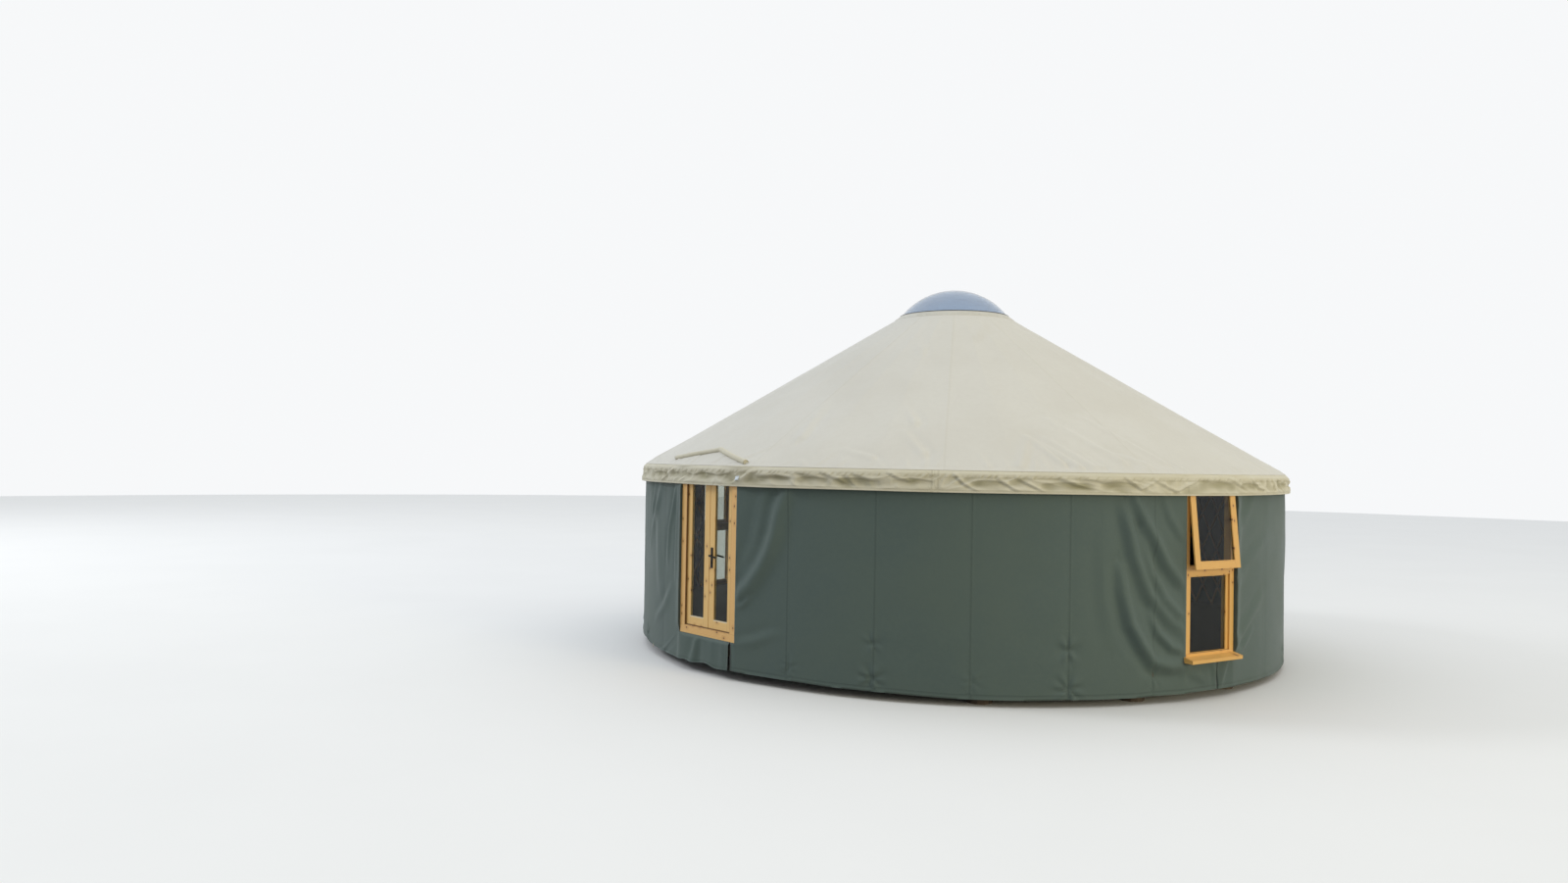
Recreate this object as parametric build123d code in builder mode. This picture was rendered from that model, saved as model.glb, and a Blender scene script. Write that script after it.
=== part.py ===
# A round canvas yurt, nine metres across, on a raised timber floor
# Millimetres, +Z up, the origin on the ground under the middle, the front doors facing -Y
# Turns round the wall are in degrees from the front doors, growing to the right as seen from outside
from build123d import *
from math import asin, cos, degrees, radians, sin, sqrt, tan
import os

os.makedirs("parts", exist_ok=True)

# Clearances
FIT = 0.3
DOOR_CLEAR = 5.0

# Floor
WALL_RADIUS = 4500.0
FLOOR_HEIGHT = 450.0
DECK_THICKNESS = 40.0
RIM_THICKNESS = 40.0
JOIST_WIDTH = 60.0
JOIST_DEPTH = 160.0
JOIST_SPACING = 600.0
BEARER_WIDTH = 120.0
BEARER_SPACING = 1500.0
BEARERS = 5
STUMP_RADIUS = 140.0
STUMP_HEIGHT = 100.0
STUMP_SPACING = 1500.0
STUMP_SIDES = 12
STUMP_INSET = 135.0

# Wall cover
CANVAS_THICKNESS = 25.0
CANVAS_BOTTOM = 105.0
DECK_TUCK = 10.0
APRON_THICKNESS = 6.0
APRON_BOTTOM = 115.0
APRON_LAP = 45.0
DOOR_APRON_LAP = 466.0
DOOR_SLIT = 463.0
WINDOW_SLIT = 141.0
SLIT_WIDTH = 10.0

# Lattice
LATH_WIDTH = 32.0
LATH_THICKNESS = 16.0
LATH_SHARE = 6.0
LATTICE_ROWS = 7
LATTICE_HEIGHT = 2000.0
LATTICE_SETBACK = 29.0
LATTICE_PITCH = 4.9

# Roof
ROOF_PITCH = 30.91
EAVE_OUT = 11.0
EAVE_RISE = 67.0
COVER_THICKNESS = 25.0
COVER_PANELS = 12
COVER_SEAM_TURN = 9.0
HEM_OUT = 62.0
HEM_DROP = 226.0
VALANCE_THICKNESS = 6.0
SHOULDER_OUT = 45.0
SHOULDER_DROP = 37.0
RAFTERS = 36
RAFTER_WIDTH = 45.0
RAFTER_DEPTH = 90.0
RAFTER_SETBACK = 10.0
TENON_LENGTH = 45.0
TENON_HEIGHT = 50.0
TENON_WIDTH = 32.0
TENON_CLEAR = 1.0

# Crown
CROWN_RADIUS = 820.0
CROWN_BORE = 680.0
CROWN_DEPTH = 161.0
CROWN_FLAT = 780.0
CURB_RADIUS = 890.0
CURB_TOP_RADIUS = 805.0
CURB_BORE = 695.0
CURB_THICKNESS = 18.0
DOME_RADIUS = 790.0
DOME_RISE = 401.0
DOME_THICKNESS = 8.0

# Front doors
DOOR_WIDTH = 1090.0
DOOR_JAMB = 96.0
DOOR_SILL = 100.0
DOOR_HEAD = 60.0
FRAME_DEPTH = 70.0
STOP_DEPTH = 20.0
STOP_LAP = 10.0
LEAF_THICKNESS = 45.0
LEAF_GAP = 10.0
MEETING_STILE = 96.0
HINGE_STILE = 90.0
BOTTOM_RAIL = 120.0
TOP_RAIL = 103.0
DOOR_GLASS = 24.0
GLASS_BITE = 12.0
HINGE_RADIUS = 6.0
HINGE_OFFSET = 7.0
HINGE_LENGTH = 100.0
HINGE_PLATE = 2.5
HINGE_PLATE_WIDTH = 28.0
HINGE_INSET = 180.0

# Door handle
HANDLE_RISE = 987.0
PLATE_WIDTH = 40.0
PLATE_LENGTH = 248.0
PLATE_ABOVE = 97.0
PLATE_THICKNESS = 8.0
SPINDLE_RADIUS = 5.0
SPINDLE_HOLE = 7.0
LEVER_NECK_RADIUS = 9.0
LEVER_PROUD = 50.0
LEVER_LENGTH = 122.0
LEVER_HEIGHT = 20.0
LEVER_THICKNESS = 12.0
LEVER_DROOP = 7.0
LEVER_CLEAR = 0.3

# Windows
WINDOW_WIDTH = 842.0
WINDOW_DEPTH = 90.0
WINDOW_JAMB = 70.0
WINDOW_HEAD = 65.0
TRANSOM_RISE = 945.0
TRANSOM_HEIGHT = 110.0
BEAD_INSET = 20.0
SIDE_BEAD = 42.0
TOP_BEAD = 12.0
BOTTOM_RISE = 30.0
SILL_THICKNESS = 50.0
SILL_PROUD = 120.0
SILL_HORN = 13.0
SILL_NOSE = 39.0
SILL_NOSE_DROP = 14.0
SILL_NOSE_GAP = 8.0
PANE_THICKNESS = 24.0
PANE_INSET = 33.0
SASH_LAP = 37.0
SASH_STILE = 87.0
SASH_LIP = 18.0
SASH_DEPTH = 26.0
SASH_CLEAR = 3.0
SASH_SEAL = 1.0
SASH_OPEN = 6.0
SASH_GLASS = 20.0
WINDOW_TURN = 80.5
BACK_WINDOW_TURN = 284.1

# Rain deflector over the doors: how far inside the eave, and at which turn, each corner lies
DEFLECTOR_LEFT = (123.0, -13.4)
DEFLECTOR_APEX = (304.0, -2.15)
DEFLECTOR_RIGHT = (51.0, 7.8)
DEFLECTOR_RADIUS = 25.0
DEFLECTOR_SIDES = 12
DEFLECTOR_RUNS = 6

# Worked out from the sizes above
canvas_inner = WALL_RADIUS - CANVAS_THICKNESS
deck_radius = canvas_inner - DECK_TUCK
deck_bottom = FLOOR_HEIGHT - DECK_THICKNESS
joist_bottom = deck_bottom - JOIST_DEPTH
stump_reach = deck_radius - STUMP_INSET
wall_top = FLOOR_HEIGHT + LATTICE_HEIGHT
lattice_radius = canvas_inner - LATTICE_SETBACK
lattice_inner = lattice_radius * cos(radians(LATTICE_ROWS * LATTICE_PITCH / 4)) - LATH_THICKNESS
eave_radius = WALL_RADIUS + EAVE_OUT
eave_height = wall_top + EAVE_RISE
slope = tan(radians(ROOF_PITCH))
cover_drop = COVER_THICKNESS * sqrt(1 + slope**2)
cover_edge = eave_radius - VALANCE_THICKNESS
sill_top = FLOOR_HEIGHT + SILL_THICKNESS
handle_height = FLOOR_HEIGHT + HANDLE_RISE


def roof_top(radius):
    return eave_height + (eave_radius - radius) * slope


def roof_underside(radius):
    return roof_top(radius) - cover_drop


def turned(turn):
    return Location((0, 0, 0), (0, 0, turn))


def direction(turn):
    return Vector(sin(radians(turn)), -cos(radians(turn)), 0)


def point(radius, turn, height):
    return direction(turn) * radius + Vector(0, 0, height)


def upright_plane(turn):
    # The upright plane through the axis: x runs outwards and y runs up
    return Plane(origin=(0, 0, 0), x_dir=direction(turn), z_dir=-direction(turn + 90))


def front_plane(distance):
    # An upright plane in front of the axis: x runs right and y runs up
    return Plane(origin=(0, -distance, 0), x_dir=(1, 0, 0), z_dir=(0, -1, 0))


def turn_at(distance, radius):
    # The turn between the middle of an opening and a spot this far to one side of it
    return degrees(asin(distance / radius))


def opening_half_turn(width, radius):
    return turn_at(width / 2 + FIT, radius)


def finish(piece, name):
    piece.part.label = name
    export_step(piece.part, f"parts/{name}.step")
    print(name, round(piece.part.volume / 1e9, 4), "m3")


def ring_piece(outline, *arcs):
    # An outline in the upright plane, turned round the axis from the first to the last turn of each arc
    with BuildPart() as piece:
        for first, last in arcs:
            with BuildSketch(upright_plane(first)):
                with BuildLine():
                    Polyline(*outline, close=True)
                make_face()
            revolve(axis=Axis.Z, revolution_arc=last - first)
    return piece


def wall_arcs(radius, counts):
    # The stretches of wall between the doors and the two windows, each cut in equal pieces
    door = opening_half_turn(DOOR_WIDTH, radius)
    window = opening_half_turn(WINDOW_WIDTH, radius)
    stretches = [
        (door, WINDOW_TURN - window),
        (WINDOW_TURN + window, BACK_WINDOW_TURN - window),
        (BACK_WINDOW_TURN + window, 360 - door),
    ]
    arcs = []
    for (first, last), count in zip(stretches, counts):
        step = (last - first) / count
        arcs += [(first + step * i, first + step * (i + 1)) for i in range(count)]
    return arcs


# Floor
bearer_rows = [(i - (BEARERS - 1) / 2) * BEARER_SPACING for i in range(BEARERS)]
with BuildPart() as floor_stumps:
    with BuildSketch(Plane.XY):
        for y in bearer_rows:
            reach = sqrt(stump_reach**2 - y**2) - STUMP_RADIUS
            half_count = round(reach / STUMP_SPACING)
            spots = [(reach * i / half_count, y) for i in range(-half_count, half_count + 1)]
            with Locations(*spots):
                RegularPolygon(STUMP_RADIUS, STUMP_SIDES)
    extrude(amount=STUMP_HEIGHT)
finish(floor_stumps, "floor_stumps")

with BuildPart() as floor_bearers:
    with BuildSketch(Plane.XY.offset(STUMP_HEIGHT)):
        Circle(deck_radius - RIM_THICKNESS - FIT)
        with BuildSketch(Plane.XY.offset(STUMP_HEIGHT), mode=Mode.INTERSECT):
            with Locations(*[(0, y) for y in bearer_rows]):
                Rectangle(2 * WALL_RADIUS, BEARER_WIDTH)
    extrude(amount=joist_bottom - STUMP_HEIGHT)
finish(floor_bearers, "floor_bearers")

joist_count = 2 * int((deck_radius - RIM_THICKNESS) // JOIST_SPACING) + 1
joist_rows = [(i - (joist_count - 1) / 2) * JOIST_SPACING for i in range(joist_count)]
with BuildPart() as floor_joists:
    with BuildSketch(Plane.XY.offset(joist_bottom)):
        Circle(deck_radius - RIM_THICKNESS - FIT)
        with BuildSketch(Plane.XY.offset(joist_bottom), mode=Mode.INTERSECT):
            with Locations(*[(x, 0) for x in joist_rows]):
                Rectangle(JOIST_WIDTH, 2 * WALL_RADIUS)
    extrude(amount=JOIST_DEPTH)
finish(floor_joists, "floor_joists")

with BuildPart() as floor_rim:
    with BuildSketch(Plane.XY.offset(joist_bottom)):
        Circle(deck_radius)
        Circle(deck_radius - RIM_THICKNESS, mode=Mode.SUBTRACT)
    extrude(amount=JOIST_DEPTH)
finish(floor_rim, "floor_rim")

with BuildPart() as floor_deck:
    with BuildSketch(Plane.XY.offset(deck_bottom)):
        Circle(deck_radius)
    extrude(amount=DECK_THICKNESS)
finish(floor_deck, "floor_deck")


# Wall lattice: straight laths in two leaning families, fused where they cross
def lath_plane(start_turn, lean, shift):
    lower = point(lattice_radius, start_turn, FLOOR_HEIGHT)
    upper = point(lattice_radius, start_turn + lean, wall_top)
    outwards = direction(start_turn + lean / 2)
    along = (upper - lower).normalized()
    origin = lower + outwards * shift - along * LATH_WIDTH * 2
    return Plane(origin=origin, x_dir=outwards, z_dir=along), (upper - lower).length + LATH_WIDTH * 4


def lattice_section(first, last):
    columns = round((last - first) / LATTICE_PITCH)
    pitch = (last - first) / columns
    lean = pitch * LATTICE_ROWS / 2
    shift = (LATH_THICKNESS - LATH_SHARE) / 2
    beside = LATTICE_ROWS // 2
    with BuildPart() as section:
        for column in range(-beside, columns + 1):
            plane, length = lath_plane(first + pitch * column, lean, shift)
            with BuildSketch(plane):
                Rectangle(LATH_THICKNESS, LATH_WIDTH)
        for column in range(0, columns + beside + 1):
            plane, length = lath_plane(first + pitch * column, -lean, -shift)
            with BuildSketch(plane):
                Rectangle(LATH_THICKNESS, LATH_WIDTH)
        extrude(amount=length)
        with BuildSketch(Plane.XY.offset(FLOOR_HEIGHT)):
            with BuildLine():
                far_corners = [direction(turn) * 2 * WALL_RADIUS for turn in (first, last)]
                Polyline((0, 0), *[(corner.X, corner.Y) for corner in far_corners], close=True)
            make_face()
        extrude(amount=LATTICE_HEIGHT, mode=Mode.INTERSECT)
    return section


for number, (first, last) in enumerate(wall_arcs(lattice_inner, (2, 5, 2)), start=1):
    finish(lattice_section(first, last), f"wall_lattice_{number}")


# Wall cover; under each opening it runs on to a slit, where the flap from the other side ends
def cover_outline(bottom, inner_top, outer_top):
    return [(canvas_inner, bottom), (WALL_RADIUS, bottom), (WALL_RADIUS, outer_top), (canvas_inner, inner_top)]


upper_outline = cover_outline(CANVAS_BOTTOM, roof_underside(canvas_inner) - FIT, roof_underside(WALL_RADIUS) - FIT)
skirt_outline = cover_outline(CANVAS_BOTTOM, FLOOR_HEIGHT - FIT, FLOOR_HEIGHT - FIT)
window_skirt = turn_at(WINDOW_SLIT + SLIT_WIDTH / 2, WALL_RADIUS)
skirt_starts = {
    1: turn_at(DOOR_SLIT + SLIT_WIDTH / 2, WALL_RADIUS),
    3: WINDOW_TURN + window_skirt,
    8: BACK_WINDOW_TURN + window_skirt,
}
for number, (first, last) in enumerate(wall_arcs(canvas_inner, (2, 5, 2)), start=1):
    with BuildPart() as wall_canvas:
        add(ring_piece(upper_outline, (first, last)).part)
        if number in skirt_starts:
            add(ring_piece(skirt_outline, (skirt_starts[number], first)).part)
    finish(wall_canvas, f"wall_canvas_{number}")

# Roof cover
gore_outline = [
    (CROWN_FLAT, roof_underside(CROWN_FLAT)),
    (cover_edge, roof_underside(cover_edge)),
    (cover_edge, roof_top(cover_edge)),
    (CROWN_FLAT, roof_top(CROWN_FLAT)),
]
panel_turn = 360 / COVER_PANELS
for number in range(1, COVER_PANELS + 1):
    first = COVER_SEAM_TURN + panel_turn * (number - 1)
    finish(ring_piece(gore_outline, (first, first + panel_turn)), f"roof_canvas_{number}")

hem = (WALL_RADIUS + HEM_OUT, eave_height - HEM_DROP)
shoulder = (WALL_RADIUS + SHOULDER_OUT, eave_height - SHOULDER_DROP)
valance_outline = [
    (cover_edge + FIT, roof_underside(cover_edge)),
    (cover_edge + FIT, roof_top(cover_edge)),
    (eave_radius + FIT, eave_height),
    shoulder,
    hem,
    (hem[0] - VALANCE_THICKNESS, hem[1]),
    (shoulder[0] - VALANCE_THICKNESS, shoulder[1] - VALANCE_THICKNESS),
]
with BuildPart() as valance:
    with BuildSketch(upright_plane(0)):
        with BuildLine():
            Polyline(*valance_outline, close=True)
        make_face()
    revolve(axis=Axis.Z)
finish(valance, "valance")


# Rafters, seated on the lattice and let into the crown ring
def rafter_line(radius, depth):
    return roof_underside(radius) - FIT * 2 - depth * sqrt(1 + slope**2)


def tenon_outline(clear):
    middle = RAFTER_DEPTH / 2
    inner = CROWN_RADIUS - TENON_LENGTH - clear
    outer = CROWN_RADIUS + TENON_CLEAR * 2
    upper = middle - TENON_HEIGHT / 2 - clear
    lower = middle + TENON_HEIGHT / 2 + clear
    return [
        (inner, rafter_line(inner, upper)),
        (outer, rafter_line(outer, upper)),
        (outer, rafter_line(outer, lower)),
        (inner, rafter_line(inner, lower)),
    ]


rafter_tail = canvas_inner - RAFTER_SETBACK
seat_radius = eave_radius - (cover_drop - EAVE_RISE + FIT * 2 + RAFTER_DEPTH * sqrt(1 + slope**2)) / slope
rafter_outline = [
    (CROWN_RADIUS + FIT, rafter_line(CROWN_RADIUS + FIT, 0)),
    (rafter_tail, rafter_line(rafter_tail, 0)),
    (rafter_tail, wall_top),
    (seat_radius, wall_top),
    (CROWN_RADIUS + FIT, rafter_line(CROWN_RADIUS + FIT, RAFTER_DEPTH)),
]
rafter_turns = [COVER_SEAM_TURN + 360 / RAFTERS * i for i in range(RAFTERS)]
with BuildPart() as rafters:
    for turn in rafter_turns:
        with BuildSketch(upright_plane(turn)):
            with BuildLine():
                Polyline(*rafter_outline, close=True)
            make_face()
    extrude(amount=RAFTER_WIDTH / 2, both=True)
    for turn in rafter_turns:
        with BuildSketch(upright_plane(turn)):
            with BuildLine():
                Polyline(*tenon_outline(0), close=True)
            make_face()
    extrude(amount=TENON_WIDTH / 2, both=True)
finish(rafters, "rafters")

# Crown ring, its curb and the clear dome
crown_top = roof_underside(CROWN_FLAT) - FIT
crown_outline = [
    (CROWN_BORE, crown_top - CROWN_DEPTH),
    (CROWN_RADIUS, crown_top - CROWN_DEPTH),
    (CROWN_RADIUS, roof_underside(CROWN_RADIUS) - FIT),
    (CROWN_FLAT, crown_top),
    (CROWN_BORE, crown_top),
]
with BuildPart() as crown_ring:
    with BuildSketch(upright_plane(0)):
        with BuildLine():
            Polyline(*crown_outline, close=True)
        make_face()
    revolve(axis=Axis.Z)
    for turn in rafter_turns:
        with BuildSketch(upright_plane(turn)):
            with BuildLine():
                Polyline(*tenon_outline(TENON_CLEAR), close=True)
            make_face()
    extrude(amount=TENON_WIDTH / 2 + TENON_CLEAR, both=True, mode=Mode.SUBTRACT)
finish(crown_ring, "crown_ring")

curb_seat = CROWN_FLAT - FIT * 2
curb_top = roof_top(curb_seat) + CURB_THICKNESS
curb_outline = [
    (CURB_BORE, crown_top),
    (curb_seat, crown_top),
    (curb_seat, roof_top(curb_seat) + FIT),
    (CURB_RADIUS, roof_top(CURB_RADIUS) + FIT),
    (CURB_RADIUS, roof_top(CURB_RADIUS) + CURB_THICKNESS),
    (CURB_TOP_RADIUS, curb_top),
    (CURB_BORE, curb_top),
]
with BuildPart() as dome_curb:
    with BuildSketch(upright_plane(0)):
        with BuildLine():
            Polyline(*curb_outline, close=True)
        make_face()
    revolve(axis=Axis.Z)
finish(dome_curb, "dome_curb")


def cap_points(radius, rise):
    # Foot, middle and top of a round cap on the curb
    sphere = (radius**2 + rise**2) / (2 * rise)
    half = asin(radius / sphere) / 2
    middle = (sphere * sin(half), curb_top + rise - sphere * (1 - cos(half)))
    return (radius, curb_top), middle, (0, curb_top + rise)


dome_outer = cap_points(DOME_RADIUS, DOME_RISE)
dome_inner = cap_points(DOME_RADIUS - DOME_THICKNESS, DOME_RISE - DOME_THICKNESS)
with BuildPart() as dome:
    with BuildSketch(upright_plane(0)):
        with BuildLine():
            ThreePointArc(*dome_outer)
            Line(dome_outer[2], dome_inner[2])
            ThreePointArc(*dome_inner)
            Line(dome_inner[0], dome_outer[0])
        make_face()
    revolve(axis=Axis.Z)
finish(dome, "dome")


# Front doors
def framed_rectangle(left, right, bottom, top, mode=Mode.ADD):
    with Locations(((left + right) / 2, (bottom + top) / 2)):
        Rectangle(right - left, top - bottom, mode=mode)


door_half = DOOR_WIDTH / 2
stop_half = door_half - DOOR_JAMB
rebate_half = stop_half + STOP_LAP + DOOR_CLEAR
stop_bottom = FLOOR_HEIGHT + DOOR_SILL
stop_top = wall_top - DOOR_HEAD
rebate_bottom = stop_bottom - STOP_LAP - DOOR_CLEAR
rebate_top = stop_top + STOP_LAP + DOOR_CLEAR
with BuildPart() as door_frame:
    with BuildSketch(front_plane(WALL_RADIUS)):
        framed_rectangle(-door_half, door_half, FLOOR_HEIGHT, wall_top)
        framed_rectangle(-stop_half, stop_half, stop_bottom, stop_top, Mode.SUBTRACT)
    extrude(amount=-STOP_DEPTH)
    with BuildSketch(front_plane(WALL_RADIUS - STOP_DEPTH)):
        framed_rectangle(-door_half, door_half, FLOOR_HEIGHT, wall_top)
        framed_rectangle(-rebate_half, rebate_half, rebate_bottom, rebate_top, Mode.SUBTRACT)
    extrude(amount=STOP_DEPTH - FRAME_DEPTH)
finish(door_frame, "door_frame")

leaf_outer = rebate_half - DOOR_CLEAR
leaf_inner = LEAF_GAP / 2
leaf_bottom = rebate_bottom + DOOR_CLEAR
leaf_top = rebate_top - DOOR_CLEAR
leaf_face = WALL_RADIUS - STOP_DEPTH - DOOR_CLEAR
glass_left = leaf_inner + MEETING_STILE
glass_right = leaf_outer - HINGE_STILE
glass_bottom = leaf_bottom + BOTTOM_RAIL
glass_top = leaf_top - TOP_RAIL
glass_face = leaf_face - (LEAF_THICKNESS - DOOR_GLASS) / 2
spindle_spot = (leaf_inner + MEETING_STILE / 2, handle_height)


def door_leaf(side, with_handle):
    edges = sorted((side * leaf_inner, side * leaf_outer))
    lights = sorted((side * glass_left, side * glass_right))
    with BuildPart() as leaf:
        with BuildSketch(front_plane(leaf_face)):
            framed_rectangle(*edges, leaf_bottom, leaf_top)
            framed_rectangle(*lights, glass_bottom, glass_top, Mode.SUBTRACT)
        extrude(amount=-LEAF_THICKNESS)
        bite = GLASS_BITE + FIT
        with BuildSketch(front_plane(glass_face + FIT)):
            framed_rectangle(lights[0] - bite, lights[1] + bite, glass_bottom - bite, glass_top + bite)
        extrude(amount=-DOOR_GLASS - FIT * 2, mode=Mode.SUBTRACT)
        if with_handle:
            with BuildSketch(front_plane(leaf_face)):
                with Locations(spindle_spot):
                    Circle(SPINDLE_HOLE)
            extrude(amount=-LEAF_THICKNESS, mode=Mode.SUBTRACT)
    return leaf


def door_pane(side):
    lights = sorted((side * glass_left, side * glass_right))
    with BuildPart() as pane:
        with BuildSketch(front_plane(glass_face)):
            framed_rectangle(lights[0] - GLASS_BITE, lights[1] + GLASS_BITE,
                             glass_bottom - GLASS_BITE, glass_top + GLASS_BITE)
        extrude(amount=-DOOR_GLASS)
    return pane


finish(door_leaf(-1, False), "left_leaf")
finish(door_pane(-1), "left_leaf_glass")
finish(door_leaf(1, True), "right_leaf")
finish(door_pane(1), "right_leaf_glass")

# Lift-off hinges: the lower knuckle on the jamb's inner face, the upper one on the leaf
frame_back = WALL_RADIUS - FRAME_DEPTH
hinge_line = rebate_half - DOOR_CLEAR / 2
hinge_heights = [leaf_bottom + HINGE_INSET, (leaf_bottom + leaf_top) / 2, leaf_top - HINGE_INSET]


def knuckle_sketch(side, outwards):
    # A barrel on the hinge line and its plate, which lies on the timber to one side of it
    across = side * outwards
    plate_middle = hinge_line * side + across * (DOOR_CLEAR / 2 + HINGE_PLATE_WIDTH / 2)
    web_middle = hinge_line * side + across * (HINGE_RADIUS + HINGE_PLATE) / 2
    with Locations((side * hinge_line, HINGE_OFFSET - frame_back)):
        Circle(HINGE_RADIUS)
    with Locations((plate_middle, HINGE_PLATE / 2 - frame_back)):
        Rectangle(HINGE_PLATE_WIDTH, HINGE_PLATE)
    with Locations((web_middle, (HINGE_OFFSET + HINGE_PLATE / 2) / 2 - frame_back)):
        Rectangle(HINGE_RADIUS - HINGE_PLATE, HINGE_OFFSET - HINGE_PLATE / 2)


def knuckles(sides, outwards, start):
    with BuildPart() as group:
        for side in sides:
            for height in hinge_heights:
                with BuildSketch(Plane.XY.offset(height + start)):
                    knuckle_sketch(side, outwards)
        extrude(amount=(HINGE_LENGTH - FIT) / 2)
    return group


finish(knuckles((-1, 1), 1, -HINGE_LENGTH / 2), "jamb_hinges")
finish(knuckles((-1,), -1, FIT / 2), "left_leaf_hinges")
finish(knuckles((1,), -1, FIT / 2), "right_leaf_hinges")

# Handle plates on both faces of the right leaf, and the levers on their spindle
leaf_back = leaf_face - LEAF_THICKNESS
with BuildPart() as handle_plates:
    for distance, outwards in ((leaf_face, 1), (leaf_back, -1)):
        with BuildSketch(front_plane(distance)):
            with Locations((spindle_spot[0], handle_height + PLATE_ABOVE - PLATE_LENGTH / 2)):
                Rectangle(PLATE_WIDTH, PLATE_LENGTH)
            with Locations(spindle_spot):
                Circle(SPINDLE_HOLE, mode=Mode.SUBTRACT)
        extrude(amount=outwards * PLATE_THICKNESS)
finish(handle_plates, "handle_plates")

with BuildPart() as lever_handles:
    with BuildSketch(front_plane(leaf_face + PLATE_THICKNESS + LEVER_CLEAR)):
        with Locations(spindle_spot):
            Circle(SPINDLE_RADIUS)
    extrude(amount=-(LEAF_THICKNESS + 2 * (PLATE_THICKNESS + LEVER_CLEAR)))
    for distance, outwards in ((leaf_face, 1), (leaf_back, -1)):
        start = distance + outwards * (PLATE_THICKNESS + LEVER_CLEAR)
        with BuildSketch(front_plane(start)):
            with Locations(spindle_spot):
                Circle(LEVER_NECK_RADIUS)
        extrude(amount=outwards * (LEVER_PROUD - PLATE_THICKNESS - LEVER_CLEAR))
        with BuildSketch(front_plane(distance + outwards * (LEVER_PROUD - LEVER_THICKNESS))):
            with Locations(spindle_spot):
                Circle(LEVER_HEIGHT / 2)
                Rectangle(LEVER_LENGTH, LEVER_HEIGHT, rotation=-LEVER_DROOP, align=(Align.MIN, Align.CENTER))
        extrude(amount=outwards * LEVER_THICKNESS)
finish(lever_handles, "lever_handles")

# Windows: a fixed pane below the transom, behind beads, and a top-hung sash above it
window_half = WINDOW_WIDTH / 2
light_half = window_half - WINDOW_JAMB
transom_bottom = FLOOR_HEIGHT + TRANSOM_RISE
upper_light = (transom_bottom + TRANSOM_HEIGHT, wall_top - WINDOW_HEAD)
pane_half = light_half - SIDE_BEAD
pane_heights = (sill_top + BOTTOM_RISE, transom_bottom - TOP_BEAD)
bite = GLASS_BITE + FIT
windows = (turned(WINDOW_TURN), turned(BACK_WINDOW_TURN))
with BuildPart() as window_unit:
    with BuildSketch(front_plane(WALL_RADIUS)):
        framed_rectangle(-window_half, window_half, sill_top, wall_top)
        framed_rectangle(-light_half, light_half, *upper_light, Mode.SUBTRACT)
        framed_rectangle(-pane_half, pane_half, *pane_heights, Mode.SUBTRACT)
    extrude(amount=-WINDOW_DEPTH)
    with BuildSketch(front_plane(WALL_RADIUS)):
        framed_rectangle(-light_half, light_half, pane_heights[0], transom_bottom)
    extrude(amount=-BEAD_INSET, mode=Mode.SUBTRACT)
    with BuildSketch(front_plane(WALL_RADIUS - PANE_INSET + FIT)):
        framed_rectangle(-pane_half - bite, pane_half + bite, pane_heights[0] - bite, pane_heights[1] + bite)
    extrude(amount=-PANE_THICKNESS - FIT * 2, mode=Mode.SUBTRACT)
with BuildPart() as window_frames:
    for place in windows:
        add(window_unit.part.moved(place))
finish(window_frames, "window_frames")

with BuildPart() as lower_pane:
    with BuildSketch(front_plane(WALL_RADIUS - PANE_INSET)):
        framed_rectangle(-pane_half - GLASS_BITE, pane_half + GLASS_BITE,
                         pane_heights[0] - GLASS_BITE, pane_heights[1] + GLASS_BITE)
    extrude(amount=-PANE_THICKNESS)

# The sash hangs from its top edge, drawn shut: its lip laps the frame and its body fills the light
lip_back = WALL_RADIUS + SASH_SEAL
lip_half = light_half + SASH_LAP
lip_top = wall_top - WINDOW_HEAD + SASH_SEAL * 10
lip_bottom = upper_light[0] - SASH_LAP
body_half = light_half - SASH_CLEAR
sash_light_half = lip_half - SASH_STILE
sash_light = (lip_bottom + SASH_STILE, lip_top - SASH_STILE)
sash_glass_face = lip_back + (SASH_LIP - SASH_DEPTH + SASH_GLASS) / 2
with BuildPart() as shut_sash:
    with BuildSketch(front_plane(lip_back)):
        framed_rectangle(-lip_half, lip_half, lip_bottom, lip_top)
        framed_rectangle(-sash_light_half, sash_light_half, *sash_light, Mode.SUBTRACT)
    extrude(amount=SASH_LIP)
    with BuildSketch(front_plane(lip_back)):
        framed_rectangle(-body_half, body_half, upper_light[0] + SASH_CLEAR, upper_light[1] - SASH_CLEAR)
        framed_rectangle(-sash_light_half, sash_light_half, *sash_light, Mode.SUBTRACT)
    extrude(amount=-SASH_DEPTH)
    with BuildSketch(front_plane(sash_glass_face + FIT)):
        framed_rectangle(-sash_light_half - bite, sash_light_half + bite,
                         sash_light[0] - bite, sash_light[1] + bite)
    extrude(amount=-SASH_GLASS - FIT * 2, mode=Mode.SUBTRACT)
with BuildPart() as sash_pane:
    with BuildSketch(front_plane(sash_glass_face)):
        framed_rectangle(-sash_light_half - GLASS_BITE, sash_light_half + GLASS_BITE,
                         sash_light[0] - GLASS_BITE, sash_light[1] + GLASS_BITE)
    extrude(amount=-SASH_GLASS)

hang = Location((0, -lip_back, lip_top))
sash_swing = hang * Location((0, 0, 0), (-SASH_OPEN, 0, 0)) * hang.inverse()
sash_places = (windows[0] * sash_swing, windows[1])
with BuildPart() as window_sashes:
    for place in sash_places:
        add(shut_sash.part.moved(place))
finish(window_sashes, "window_sashes")

with BuildPart() as window_panes:
    for place in windows:
        add(lower_pane.part.moved(place))
    for place in sash_places:
        add(sash_pane.part.moved(place))
finish(window_panes, "window_panes")

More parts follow.
